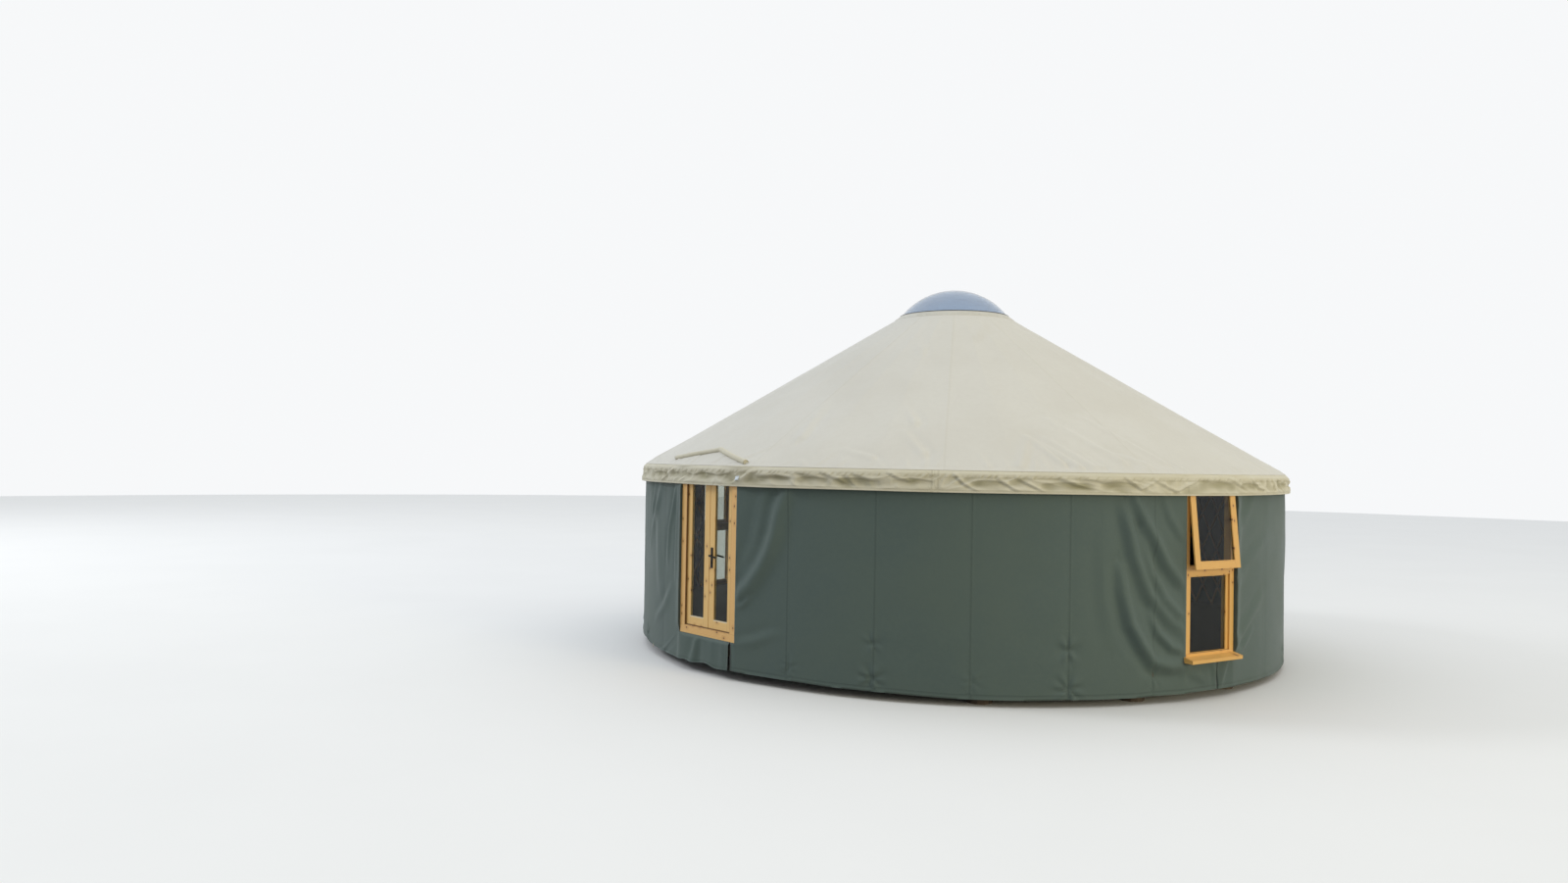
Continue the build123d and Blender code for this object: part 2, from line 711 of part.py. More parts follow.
# The sill lies on the deck under the window; its weathered top slopes to a nose over the wall cover
sill_profiles = [
    (window_half, [
        (WALL_RADIUS - WINDOW_DEPTH, FLOOR_HEIGHT),
        (WALL_RADIUS, FLOOR_HEIGHT),
        (WALL_RADIUS, sill_top),
        (WALL_RADIUS - WINDOW_DEPTH, sill_top),
    ]),
    (window_half + SILL_HORN, [
        (WALL_RADIUS, FLOOR_HEIGHT),
        (WALL_RADIUS + SILL_NOSE_GAP, FLOOR_HEIGHT),
        (WALL_RADIUS + SILL_NOSE_GAP, FLOOR_HEIGHT - SILL_NOSE_DROP),
        (WALL_RADIUS + SILL_PROUD, FLOOR_HEIGHT - SILL_NOSE_DROP),
        (WALL_RADIUS + SILL_PROUD, FLOOR_HEIGHT - SILL_NOSE_DROP + SILL_NOSE),
        (WALL_RADIUS, sill_top),
    ]),
]
with BuildPart() as sill_board:
    for half_length, profile in sill_profiles:
        with BuildSketch(upright_plane(0)):
            with BuildLine():
                Polyline(*profile, close=True)
            make_face()
        extrude(amount=half_length, both=True)
with BuildPart() as window_sills:
    for place in windows:
        add(sill_board.part.moved(place))
finish(window_sills, "window_sills")

# Canvas flaps over the cover's edge, closing the space under the doors and the windows
window_flap = (
    -opening_half_turn(WINDOW_WIDTH, WALL_RADIUS) - turn_at(APRON_LAP, WALL_RADIUS),
    turn_at(WINDOW_SLIT - SLIT_WIDTH / 2, WALL_RADIUS),
)
door_flap = (
    -opening_half_turn(DOOR_WIDTH, WALL_RADIUS) - turn_at(DOOR_APRON_LAP, WALL_RADIUS),
    turn_at(DOOR_SLIT - SLIT_WIDTH / 2, WALL_RADIUS),
)
flap_outline = [
    (WALL_RADIUS + FIT, APRON_BOTTOM),
    (WALL_RADIUS + APRON_THICKNESS, APRON_BOTTOM),
    (WALL_RADIUS + APRON_THICKNESS, FLOOR_HEIGHT - FIT),
    (WALL_RADIUS + FIT, FLOOR_HEIGHT - FIT),
]
window_flaps = [[turn + edge for edge in window_flap] for turn in (WINDOW_TURN, BACK_WINDOW_TURN)]
finish(ring_piece(flap_outline, door_flap), "door_apron")
finish(ring_piece(flap_outline, *window_flaps), "window_aprons")


# Rain deflector: a padded welt sewn to the roof over the doors
def on_roof(inside_eave, turn, sag):
    radius = eave_radius - inside_eave
    lift = (DEFLECTOR_RADIUS + FIT) * sqrt(1 + slope**2) + sag
    return point(radius, turn, roof_top(radius) + lift)


def welt_arm(start, end):
    # Points along one arm; each straight run between them is lifted clear of the round roof
    runs = DEFLECTOR_RUNS
    half_step = radians(abs(end[1] - start[1]) / runs / 2)
    sag = eave_radius * (1 - cos(half_step)) * slope
    return [on_roof(start[0] + (end[0] - start[0]) * i / runs, start[1] + (end[1] - start[1]) * i / runs, sag)
            for i in range(runs + 1)]


left_arm = welt_arm(DEFLECTOR_LEFT, DEFLECTOR_APEX)
right_arm = welt_arm(DEFLECTOR_APEX, DEFLECTOR_RIGHT)
with BuildPart() as rain_deflector:
    with BuildLine() as deflector_route:
        Polyline(*left_arm[:-1], *right_arm)
    route = deflector_route.line
    with BuildSketch(Plane(origin=route @ 0, z_dir=route % 0)):
        RegularPolygon(DEFLECTOR_RADIUS, DEFLECTOR_SIDES)
    sweep(transition=Transition.RIGHT)
finish(rain_deflector, "rain_deflector")
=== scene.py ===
# %% [markdown]
# # A canvas yurt on a raised timber floor
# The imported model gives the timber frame, the doors, the windows and the floor. This lesson dresses it: it
# replaces the plain covers with folded cloth, adds the small things that a maker fixes on, and gives each
# surface a finish made from nodes. All lengths are metres, the doors face -Y and +Z is up.

# %% Load the frame
import bpy
import bmesh
import math
import random
from mathutils import Matrix, Vector, noise


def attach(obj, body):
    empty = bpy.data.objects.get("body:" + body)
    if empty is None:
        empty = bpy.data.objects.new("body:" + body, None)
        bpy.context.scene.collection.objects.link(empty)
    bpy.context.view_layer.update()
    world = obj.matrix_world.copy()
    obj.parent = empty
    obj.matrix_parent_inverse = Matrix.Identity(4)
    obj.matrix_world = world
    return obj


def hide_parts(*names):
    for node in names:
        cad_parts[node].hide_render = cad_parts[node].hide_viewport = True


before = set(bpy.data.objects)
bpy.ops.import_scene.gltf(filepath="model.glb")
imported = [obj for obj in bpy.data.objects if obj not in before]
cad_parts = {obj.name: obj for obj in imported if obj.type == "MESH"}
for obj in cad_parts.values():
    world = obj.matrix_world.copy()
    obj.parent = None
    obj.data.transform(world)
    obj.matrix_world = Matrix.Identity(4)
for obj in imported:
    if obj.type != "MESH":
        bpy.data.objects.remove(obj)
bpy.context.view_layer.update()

# %% [markdown]
# ## The camera
# The photograph was taken from the right of the doors, at about the height of a raised hand, with a wide
# lens. The camera's three directions were worked out from the ellipses of the hem and the eave. A camera
# looks along its own -Z, so the last column of its matrix is the backward direction.

# %% Camera
SENSOR, FOCAL_PIXELS, PHOTO_PIXELS = 36.0, 1109.0, 1600.0
CAMERA_SPOT = (10.5746, -12.4691, 2.6026)
camera_right = Vector((0.65491, 0.7555, 0.01762))
camera_up = Vector((0.00172, -0.02481, 0.99969))
camera_axes = Matrix((camera_right, camera_up, camera_right.cross(camera_up))).transposed()
camera_data = bpy.data.cameras.new("camera")
camera_data.sensor_width = SENSOR
camera_data.lens = SENSOR * FOCAL_PIXELS / PHOTO_PIXELS
camera = bpy.data.objects.new("camera", camera_data)
camera.matrix_world = Matrix.Translation(CAMERA_SPOT) @ camera_axes.to_4x4()
scene = bpy.context.scene
scene.collection.objects.link(camera)
scene.camera = camera
print("lens", round(camera_data.lens, 2), "mm")

# %% [markdown]
# ## Node helpers
# The light round the yurt and every finish on it is a small tree of nodes. These helpers add a node, join
# two sockets, and start a material with its one shader. A pattern that several finishes share becomes a
# node group, made once.

# %% Node helpers
class Tree:
    """A node tree with short ways to add and join nodes."""

    def __init__(self, tree):
        self.tree = tree

    def feed(self, sockets, values):
        for name, value in values.items():
            if isinstance(value, bpy.types.NodeSocket):
                self.tree.links.new(value, sockets[name])
            else:
                sockets[name].default_value = value

    def add(self, kind, inputs=None, **settings):
        node = self.tree.nodes.new(kind)
        for name, value in settings.items():
            setattr(node, name, value)
        self.feed(node.inputs, inputs or {})
        return node

    def math(self, operation, first, second=0.0, third=0.0):
        return self.add("ShaderNodeMath", {0: first, 1: second, 2: third}, operation=operation).outputs[0]

    def times(self, first, second):
        return self.math("MULTIPLY", first, second)

    def plus(self, first, *others):
        for other in others:
            first = self.math("ADD", first, other)
        return first

    def wave(self, value, length):
        return self.math("SINE", self.math("DIVIDE", value, self.math("DIVIDE", length, 2 * math.pi)))

    def parts(self, vector):
        return self.add("ShaderNodeSeparateXYZ", {0: vector}).outputs

    def vector(self, x, y, z):
        return self.add("ShaderNodeCombineXYZ", {0: x, 1: y, 2: z}).outputs[0]

    def fade(self, value, low, high, start=0.0, end=1.0, curve="SMOOTHSTEP"):
        return self.add("ShaderNodeMapRange", {
            "Value": value, "From Min": low, "From Max": high, "To Min": start, "To Max": end,
        }, interpolation_type=curve).outputs[0]

    def noise(self, inputs, dimensions="3D"):
        return self.add("ShaderNodeTexNoise", inputs, noise_dimensions=dimensions).outputs[0]

    def mix(self, amount, first, second):
        return self.add("ShaderNodeMix", {0: amount, 6: first, 7: second}, data_type="RGBA").outputs[2]

    def choose(self, amount, first, second):
        return self.add("ShaderNodeMix", {0: amount, 4: first, 5: second}, data_type="VECTOR").outputs[1]

    def stain(self, colour, mask, share, other):
        return self.mix(self.times(mask, share), colour, other)

    def group(self, made, inputs):
        return self.add("ShaderNodeGroup", inputs, node_tree=made.tree).outputs

    def place(self):
        return self.add("ShaderNodeTexCoord").outputs["Object"]

    def carried(self, name):
        return self.add("ShaderNodeAttribute", attribute_name=name, attribute_type="GEOMETRY").outputs["Fac"]

    def seen(self):
        # 1 for what the camera sees: straight on, in a mirror or through glass
        rays = self.add("ShaderNodeLightPath").outputs
        return self.math("MAXIMUM", self.math("MAXIMUM", rays["Is Camera Ray"], rays["Is Glossy Ray"]),
                         rays["Is Transmission Ray"])


def new_group(name, inputs, outputs):
    tree = bpy.data.node_groups.new(name, "ShaderNodeTree")
    for socket, (kind, value) in inputs.items():
        made = tree.interface.new_socket(socket, in_out="INPUT", socket_type="NodeSocket" + kind)
        if value is not None:
            made.default_value = value
    for socket in outputs:
        tree.interface.new_socket(socket, in_out="OUTPUT", socket_type="NodeSocketFloat")
    nodes = Tree(tree)
    return nodes, nodes.add("NodeGroupInput").outputs, nodes.add("NodeGroupOutput").inputs


def new_finish(name, **plain):
    material = bpy.data.materials.new(name)
    material.use_nodes = True
    nodes = Tree(material.node_tree)
    shader = material.node_tree.nodes["Principled BSDF"].inputs
    nodes.feed(shader, {socket.replace("_", " "): value for socket, value in plain.items()})
    return material, nodes, shader


def add_bump(nodes, shader, strength, depth, height):
    bump = nodes.add("ShaderNodeBump", {"Strength": strength, "Distance": depth, "Height": height})
    nodes.feed(shader, {"Normal": bump.outputs[0]})


def srgb(*channels):
    shares = [value / 255 for value in channels]
    return (*[one / 12.92 if one <= 0.04045 else ((one + 0.055) / 1.055) ** 2.4 for one in shares], 1.0)


print("helpers ready")

# %% [markdown]
# ## Light and floor
# The yurt stands in an even, soft light, warmer on the right. A plain world gives the soft light, the floor
# bounces a little up under the hem, and two broad lamps, one on each side, graze the wall, so that its
# folds show a light and a dark flank.
# The world is brighter overhead than low down, which is what makes the folds of hanging cloth show, and it
# turns from cool on the left to warm on the right. The side behind the camera is a little darker than both
# sides of the picture. To the camera, in mirrors and through glass the world is white.

# %% Light and floor
COOL, WARM, WHITE = (0.89, 0.97, 1.07, 1), (1.0, 0.975, 0.9, 1), (0.93, 0.94, 0.95, 1)
TO_CAMERA = (0.647, -0.763, 0.0)
scene.view_settings.view_transform = "Standard"
world = bpy.data.worlds.new("even_light")
world.use_nodes = True
scene.world = world
world.node_tree.nodes.clear()
sky = Tree(world.node_tree)
direction = sky.add("ShaderNodeTexCoord").outputs["Generated"]
aim = sky.parts(direction)
facing_camera = sky.add("ShaderNodeVectorMath", {0: direction, 1: TO_CAMERA}, operation="DOT_PRODUCT")
strength = sky.times(sky.fade(aim["Z"], -0.1, 1.0, 0.43, 1.06, "LINEAR"),
                     sky.fade(facing_camera.outputs["Value"], 0.1, 1.0, 1.06, 0.74, "LINEAR"))
tint = sky.mix(sky.fade(aim["X"], -0.8, 0.8, curve="LINEAR"), COOL, WARM)
sky_light = sky.add("ShaderNodeBackground", {"Color": tint, "Strength": strength})
sky_seen = sky.add("ShaderNodeBackground", {"Color": WHITE, "Strength": 1.0})
sky_mix = sky.add("ShaderNodeMixShader", {0: sky.seen(), 1: sky_light.outputs[0], 2: sky_seen.outputs[0]})
sky.add("ShaderNodeOutputWorld", {"Surface": sky_mix.outputs[0]})

LAMPS = {
    # energy, size, colour, place
    "warm_right": (4700.0, 12.0, (1.0, 0.9, 0.6), (40.0, 1.5, 8.0)),
    "cool_left": (4000.0, 10.0, (0.96, 0.98, 1.0), (-28.0, -26.0, 24.0)),
}
LAMPS_AIM_AT = Vector((0, 0, 2))
for name, (energy, size, colour, place_at) in LAMPS.items():
    data = bpy.data.lights.new(name, "AREA")
    data.shape = "DISK"
    data.size, data.energy, data.color = size, energy, colour
    lamp = bpy.data.objects.new(name, data)
    scene.collection.objects.link(lamp)
    lamp.location = place_at
    lamp.rotation_mode = "QUATERNION"
    lamp.rotation_quaternion = (lamp.location - LAMPS_AIM_AT).to_track_quat("Z", "Y")

ground = bmesh.new()
bmesh.ops.create_circle(ground, cap_ends=True, segments=64, radius=60.0)
ground_mesh = bpy.data.meshes.new("studio_floor")
ground.to_mesh(ground_mesh)
ground.free()
studio_floor = bpy.data.objects.new("studio_floor", ground_mesh)
scene.collection.objects.link(studio_floor)
print("lamps", len(LAMPS))

# %% [markdown]
# ## Shared patterns
# Cloth shows its threads only close up, so the weave is a fine height, two crossed waves read from the
# cloth's own UV map, which is in metres. Handling marks and rain leave soft clouds a hand wide, read from
# the object's coordinates. Timber has long rings, stretched along the board, and knots that push them
# aside. Each is a group that a finish places with its own values.

# %% Weave group
weave, given, result = new_group("cloth_weave", {"Thread": ("Float", 0.0016)}, ["Height"])
across = weave.parts(weave.add("ShaderNodeUVMap", uv_map="cloth").outputs[0])
turns = weave.math("DIVIDE", math.pi, given["Thread"])
warp, weft = [weave.math("ABSOLUTE", weave.math("SINE", weave.times(across[i], turns))) for i in (0, 1)]
weave.feed(result, {"Height": weave.times(warp, weft)})

# %% Cloud group
clouds, given, result = new_group("soft_clouds", {"Size": ("Float", 0.5), "Seed": ("Float", 0.0)},
                                  ["Amount", "Fine"])
rate = clouds.math("DIVIDE", 1.0, given["Size"])
where = {"Vector": clouds.place(), "W": given["Seed"]}
broad = clouds.noise({**where, "Scale": rate, "Detail": 4.0, "Roughness": 0.55}, "4D")
fine = clouds.noise({**where, "Scale": clouds.times(rate, 22.0), "Detail": 3.0}, "4D")
clouds.feed(result, {"Amount": clouds.fade(broad, 0.3, 0.7), "Fine": fine})

# %% Timber group
timber, given, result = new_group(
    "timber_rings", {"Along": ("Vector", None), "Ring": ("Float", 0.006), "Knots": ("Float", 0.6)},
    ["Rings", "Knot", "Halo", "Pore"])


def stretched(scale, detail=None):
    # Along holds the spot on the board with its length in X, so one stretch serves every board
    mapped = timber.add("ShaderNodeMapping", {"Vector": given["Along"], "Scale": scale}).outputs[0]
    return timber.noise({"Vector": mapped, "Scale": 1.0, "Detail": detail}) if detail else mapped


# A knot is a branch that runs through the board, so its pattern has no depth
knot_spots = timber.add("ShaderNodeTexVoronoi", {
    "Vector": stretched((6.5, 9.0, 9.0)), "Scale": 1.0, "Randomness": 1.0,
}, feature="F1", voronoi_dimensions="2D").outputs
chosen = timber.math("LESS_THAN", timber.parts(knot_spots["Color"])[0], given["Knots"])
knot, push = [timber.times(timber.fade(knot_spots["Distance"], outer, inner), chosen)
              for outer, inner in ((0.1, 0.06), (0.42, 0.03))]
spot = timber.parts(given["Along"])
wander = stretched((0.9, 5.0, 5.0), 2.0)
depth = timber.plus(spot[1], timber.times(spot[2], 0.6), timber.times(wander, 0.09),
                    timber.times(push, 0.016))
ring = timber.wave(depth, given["Ring"])
timber.feed(result, {"Rings": timber.fade(ring, -1.0, 1.0), "Knot": knot, "Halo": push,
                     "Pore": stretched((6.0, 420.0, 420.0), 3.0)})

# %% Zone group
# 1 inside an upright rectangle of the board's own x and z, for telling rails from stiles, and its outline
zone_names = ["X", "Z", "Middle X", "Half X", "Middle Z", "Half Z"]
zone, given, result = new_group("board_zone", {
    name: ("Float", 1.0 if "Half" in name else 0.0) for name in zone_names}, ["Inside", "Edge"])


def within(more):
    return zone.times(*[
        zone.math("COMPARE", given[axis], given["Middle " + axis], zone.plus(given["Half " + axis], more))
        for axis in "XZ"])


zone.feed(result, {"Inside": within(0.0), "Edge": zone.math("SUBTRACT", within(0.0007), within(-0.0007))})

# %% Seam group
# Two rows of stitches beside each seam, from the distance that the sheet carries
sewing, given, result = new_group("sewn_seam", {"Stitch": ("Float", 0.007)}, ["Thread", "Groove"])
distance = sewing.math("ABSOLUTE", sewing.carried("seam"))
flat = sewing.parts(sewing.add("ShaderNodeUVMap", uv_map="cloth").outputs[0])
beat = sewing.wave(sewing.plus(flat[0], flat[1]), given["Stitch"])
row = sewing.fade(sewing.math("ABSOLUTE", sewing.math("SUBTRACT", distance, 0.008)), 0.0022, 0.0008)
sewing.feed(result, {"Thread": sewing.times(row, sewing.fade(beat, -0.7, -0.2)),
                     "Groove": sewing.fade(distance, 0.009, 0.003)})
print("groups", [tree.name for tree in bpy.data.node_groups])

# %% [markdown]
# ## Cloth finishes
# The wall is a coated grey-green canvas, the roof an undyed cream one, and the valance the same cream,
# painted more beige as painted shade, because it hangs in its own shade. Coated cloth is dull with a faint
# sheen. Dust settles in the folds' lower parts and water marks lift the tone a little, so the colour drifts
# by a few percent. Each sheet carries a value named seam, the distance to its nearest seam, which places the
# sewing threads, and the valance a second value, up to 1, that lays painted shade in the dips under its
# gathers.

# %% Cloth finishes
def cloth_finish(name, base, marks, sewn, size, thread, seed, sheen=0.1, seam_tone=0.22, painted_shade_colour=None):
    material, nodes, shader = new_finish(
        name, Sheen_Weight=sheen, Sheen_Roughness=0.42, Specular_IOR_Level=0.16)
    soiled = nodes.group(clouds, {"Size": size, "Seed": seed})
    seams = nodes.group(sewing, {})
    colour = nodes.stain(base, soiled["Amount"], 0.55, marks)
    colour = nodes.mix(nodes.fade(soiled["Fine"], 0.35, 0.7, 0.0, 0.22), colour, marks)
    colour = nodes.stain(colour, seams["Thread"], 0.15 + 2 * seam_tone, sewn)
    colour = nodes.stain(colour, seams["Groove"], seam_tone, sewn)
    # Painted shade, laid on where the sheet's second value asks for it
    if painted_shade_colour:
        colour = nodes.mix(nodes.carried("painted_shade"), colour, painted_shade_colour)
    roughness = nodes.fade(soiled["Amount"], 0.0, 1.0, 0.56, 0.68)
    nodes.feed(shader, {"Base Color": colour, "Roughness": roughness})
    threads = nodes.group(weave, {"Thread": thread})["Height"]
    height = nodes.plus(threads, nodes.times(soiled["Fine"], 6.0), nodes.times(seams["Groove"], -3.0))
    add_bump(nodes, shader, 0.35, 0.0006, height)
    return material


wall_cloth = cloth_finish(
    "wall_cloth", srgb(86, 101, 99), srgb(94, 108, 102), srgb(50, 60, 58), 0.9, 0.0016, 1.0, sheen=0.2)
roof_cloth = cloth_finish(
    "roof_cloth", srgb(214, 212, 204), srgb(206, 203, 194), srgb(168, 162, 140), 1.3, 0.0014, 4.0,
    seam_tone=0.06)
# The valance's cream is painted more beige as painted shade, and its second colour is painted shade in the
# dips under its gathers
valance_cloth = cloth_finish(
    "valance_cloth", srgb(212, 208, 191), srgb(203, 197, 174), srgb(150, 142, 114), 0.35, 0.0014, 7.0,
    seam_tone=0.25, painted_shade_colour=srgb(146, 141, 109))
cord_cloth = cloth_finish(
    "cord_cloth", srgb(226, 222, 206), srgb(214, 208, 190), srgb(196, 190, 170), 0.2, 0.001, 9.0)
tag_cloth = cloth_finish(
    "tag_cloth", srgb(230, 236, 242), srgb(204, 218, 230), srgb(150, 170, 190), 0.04, 0.001, 3.0)
print("cloth finishes ready")

# %% [markdown]
# ## Pine
# The joinery is clear-oiled pine: honey yellow, with soft straight rings and a few brown knots. The grain
# of a real board runs along it, so the pattern turns by a quarter where a rail meets a stile. The windows
# stand at an angle to the axes, so their coordinates are first turned back until the frame faces -Y. At the
# doors, a dark line of painted shade follows the step where the leaves meet the stop, and a painted
# highlight makes the ledges under the panes pale.

# %% Pine
WINDOWS = (80.5, 284.1)
PANE_X, PANE_HALF_X = 0.235, 0.134
# The middle and half width in x, then in z, of each rail, and of the ledge under a door pane
DOOR_RAILS = [(0.0, 1.0, 0.49, 0.05), (0.0, 1.0, 2.427, 0.027), (PANE_X, PANE_HALF_X, 0.6, 0.06),
              (PANE_X, PANE_HALF_X, 2.3485, 0.0515)]
WINDOW_RAILS = [(0.0, 0.7, 0.47, 0.06), (0.0, 0.301, 1.5115, 0.0435), (0.0, 0.351, 1.43, 0.036),
                (0.0, 0.301, 2.3515, 0.0435), (0.0, 0.351, 2.424, 0.027)]
PANE_LEDGE = (PANE_X, PANE_HALF_X, 0.662, 0.008)
STOP_HALF_X, STOP_MIDDLE_Z, STOP_HALF_Z = 0.449, 1.47, 0.92


def pine_finish(name, light, dark, rails):
    material, nodes, shader = new_finish(name, Specular_IOR_Level=0.45, Coat_Weight=0.12, Coat_Roughness=0.3)
    place = nodes.place()
    if rails is WINDOW_RAILS:
        right, left = [nodes.add("ShaderNodeVectorRotate", {"Vector": place, "Angle": math.radians(-turn)},
                                 rotation_type="Z_AXIS").outputs[0] for turn in WINDOWS]
        place = nodes.choose(nodes.math("GREATER_THAN", nodes.parts(place)[0], 0.0), left, right)
    x, y, z = nodes.parts(place)
    either_side = nodes.math("ABSOLUTE", x)

    def zone_of(at_x, *sizes):
        return nodes.group(zone, {"X": at_x, "Z": z, **dict(zip(zone_names[2:], sizes))})

    rail, joint = 0.0, 0.0
    for sizes in rails:
        inside = zone_of(either_side, *sizes)
        rail = nodes.math("MAXIMUM", rail, inside["Inside"])
        joint = nodes.math("MAXIMUM", joint, inside["Edge"])
    along = nodes.choose(rail, nodes.vector(z, x, y), nodes.vector(x, z, y))
    rings = nodes.group(timber, {"Along": along, "Ring": 0.011, "Knots": 0.42})
    colour = nodes.mix(nodes.fade(rings["Rings"], 0.25, 1.0, 0.0, 0.75), light, dark)
    colour = nodes.mix(nodes.fade(rings["Pore"], 0.5, 0.8, 0.0, 0.3), colour, dark)
    colour = nodes.stain(colour, rings["Halo"], 0.45, srgb(196, 138, 72))
    colour = nodes.stain(colour, rings["Knot"], 0.92, srgb(106, 58, 26))
    colour = nodes.stain(colour, joint, 0.8, srgb(120, 78, 38))
    if rails is DOOR_RAILS:
        # Painted shade: a dark line in the step between a leaf and the stop that it shuts against
        wide, narrow = [zone_of(x, 0.0, STOP_HALF_X + more, STOP_MIDDLE_Z, STOP_HALF_Z + more)["Inside"]
                        for more in (0.002, -0.009)]
        colour = nodes.stain(colour, nodes.math("SUBTRACT", wide, narrow), 0.8, srgb(84, 46, 22))
        # Painted highlight: the ledge under each pane is pale, as if lit from the sky above
        colour = nodes.stain(colour, zone_of(either_side, *PANE_LEDGE)["Inside"], 0.75, srgb(244, 234, 208))
    nodes.feed(shader, {"Base Color": colour, "Roughness": nodes.fade(rings["Rings"], 0.0, 1.0, 0.46, 0.36)})
    add_bump(nodes, shader, 0.25, 0.0005, nodes.plus(rings["Pore"], nodes.times(joint, -2.0)))
    return material


door_pine = pine_finish("door_pine", srgb(240, 196, 126), srgb(222, 165, 94), DOOR_RAILS)
leaf_pine = pine_finish("leaf_pine", srgb(244, 206, 134), srgb(230, 178, 104), DOOR_RAILS)
window_pine = pine_finish("window_pine", srgb(232, 187, 110), srgb(216, 157, 78), WINDOW_RAILS)
print("rails", len(DOOR_RAILS), len(WINDOW_RAILS))

# %% [markdown]
# ## Frame and floor timber
# The lattice, the rafters and the crown ring are planed poplar, oiled and a little darker than the joinery.
# The rafters run outwards, so their length is read as the distance from the axis. The deck is laid in
# grey-stained boards with fine gaps. Each board gets its own tone from one noise value for the whole board.

# %% Frame and floor timber
BOARD_LENGTH = 3.6


def frame_finish(name, light, dark, outward=False):
    material, nodes, shader = new_finish(name, Roughness=0.55, Specular_IOR_Level=0.4)
    x, y, z = nodes.parts(nodes.place())
    reach = nodes.math("SQRT", nodes.plus(nodes.times(x, x), nodes.times(y, y)))
    round_wall = nodes.times(nodes.math("ARCTAN2", x, y), 4.0)
    along = nodes.vector(reach, round_wall, z) if outward else nodes.vector(z, round_wall, reach)
    rings = nodes.group(timber, {"Along": along, "Ring": 0.009, "Knots": 0.12})
    colour = nodes.mix(nodes.fade(rings["Rings"], 0.2, 1.0, 0.0, 0.7), light, dark)
    nodes.feed(shader, {"Base Color": nodes.stain(colour, rings["Knot"], 0.8, srgb(84, 52, 28))})
    add_bump(nodes, shader, 0.3, 0.0005, rings["Pore"])
    return material


def floor_finish(name, light, dark, width):
    material, nodes, shader = new_finish(name, Roughness=0.6, Specular_IOR_Level=0.4)
    x, y, z = nodes.parts(nodes.place())
    board = nodes.math("DIVIDE", y, width)
    tone = nodes.add("ShaderNodeTexWhiteNoise", {"W": nodes.math("FLOOR", board)}, noise_dimensions="1D")
    tone = tone.outputs["Value"]
    beside = nodes.math("FRACT", board)
    ends = nodes.math("DIVIDE", nodes.plus(x, nodes.times(tone, BOARD_LENGTH)), BOARD_LENGTH)
    gap = nodes.math("MINIMUM", nodes.plus(
        nodes.math("LESS_THAN", beside, 0.02), nodes.math("GREATER_THAN", beside, 0.98),
        nodes.math("LESS_THAN", nodes.math("FRACT", ends), 0.0008)), 1.0)
    along = nodes.vector(nodes.plus(x, nodes.times(tone, 9.0)), y, z)
    rings = nodes.group(timber, {"Along": along, "Ring": 0.014, "Knots": 0.2})
    colour = nodes.mix(nodes.fade(rings["Rings"], 0.0, 1.0, 0.0, 0.6), light, dark)
    colour = nodes.mix(nodes.fade(tone, 0.0, 1.0, 0.0, 0.45), colour, dark)
    nodes.feed(shader, {"Base Color": nodes.stain(colour, gap, 0.85, srgb(24, 23, 22))})
    add_bump(nodes, shader, 0.4, 0.001, nodes.plus(rings["Pore"], nodes.times(gap, -3.0)))
    return material


lattice_timber = frame_finish("lattice_timber", srgb(176, 138, 92), srgb(146, 106, 64))
rafter_timber = frame_finish("rafter_timber", srgb(186, 150, 104), srgb(158, 118, 74), outward=True)
deck_boards = floor_finish("deck_boards", srgb(104, 103, 100), srgb(80, 79, 76), 0.14)
under_timber = floor_finish("under_timber", srgb(92, 78, 62), srgb(66, 54, 42), 0.3)
print("timber finishes ready")

# %% [markdown]
# ## Glass, dome, metal and paint
# The panes are sealed units of coated glass that mirrors little, so their index is set low. The dome is
# clear acrylic, blown from one sheet and a little dusty. The curb is a painted ring. The door furniture is
# black powder-coated iron, whose coat is slightly pebbled, and the small fixings are zinc-plated steel.

# %% Glass, dome, metal and paint
def clear_finish(name, colour, ior, dust):
    material, nodes, shader = new_finish(name, Base_Color=colour, Transmission_Weight=1.0, IOR=ior)
    dusty = nodes.group(clouds, {"Size": 0.35, "Seed": 2.0})["Amount"]
    nodes.feed(shader, {"Roughness": nodes.fade(dusty, 0.2, 1.0, 0.0, dust)})
    return material


def coated_finish(name, colour, worn, roughness, metal=0.0, grain=0.004, gloss=0.5):
    material, nodes, shader = new_finish(name, Metallic=metal, Specular_IOR_Level=gloss)
    wear = nodes.group(clouds, {"Size": 0.12, "Seed": 5.0})
    nodes.feed(shader, {
        "Base Color": nodes.stain(colour, wear["Amount"], 0.6, worn),
        "Roughness": nodes.fade(wear["Fine"], 0.2, 0.8, roughness - 0.06, roughness + 0.1)})
    add_bump(nodes, shader, 0.3, 0.0003, nodes.group(clouds, {"Size": grain, "Seed": 8.0})["Amount"])
    return material


pane_glass = clear_finish("pane_glass", srgb(206, 210, 204), 1.22, 0.03)
dome_acrylic = clear_finish("dome_acrylic", srgb(196, 208, 222), 1.49, 0.03)
curb_paint = coated_finish("curb_paint", srgb(206, 204, 194), srgb(190, 187, 174), 0.45)
black_iron = coated_finish("black_iron", srgb(18, 18, 19), srgb(28, 28, 29), 0.5, gloss=0.2)
zinc_steel = coated_finish(
    "zinc_steel", srgb(178, 180, 182), srgb(150, 152, 156), 0.35, metal=1.0, grain=0.01)
dark_rubber = coated_finish("dark_rubber", srgb(34, 34, 35), srgb(46, 46, 46), 0.65)


def dress(finish, *names):
    for name in names:
        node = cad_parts[name]
        if not node.material_slots:
            node.data.materials.append(finish)
        for slot in node.material_slots:
            slot.material = finish


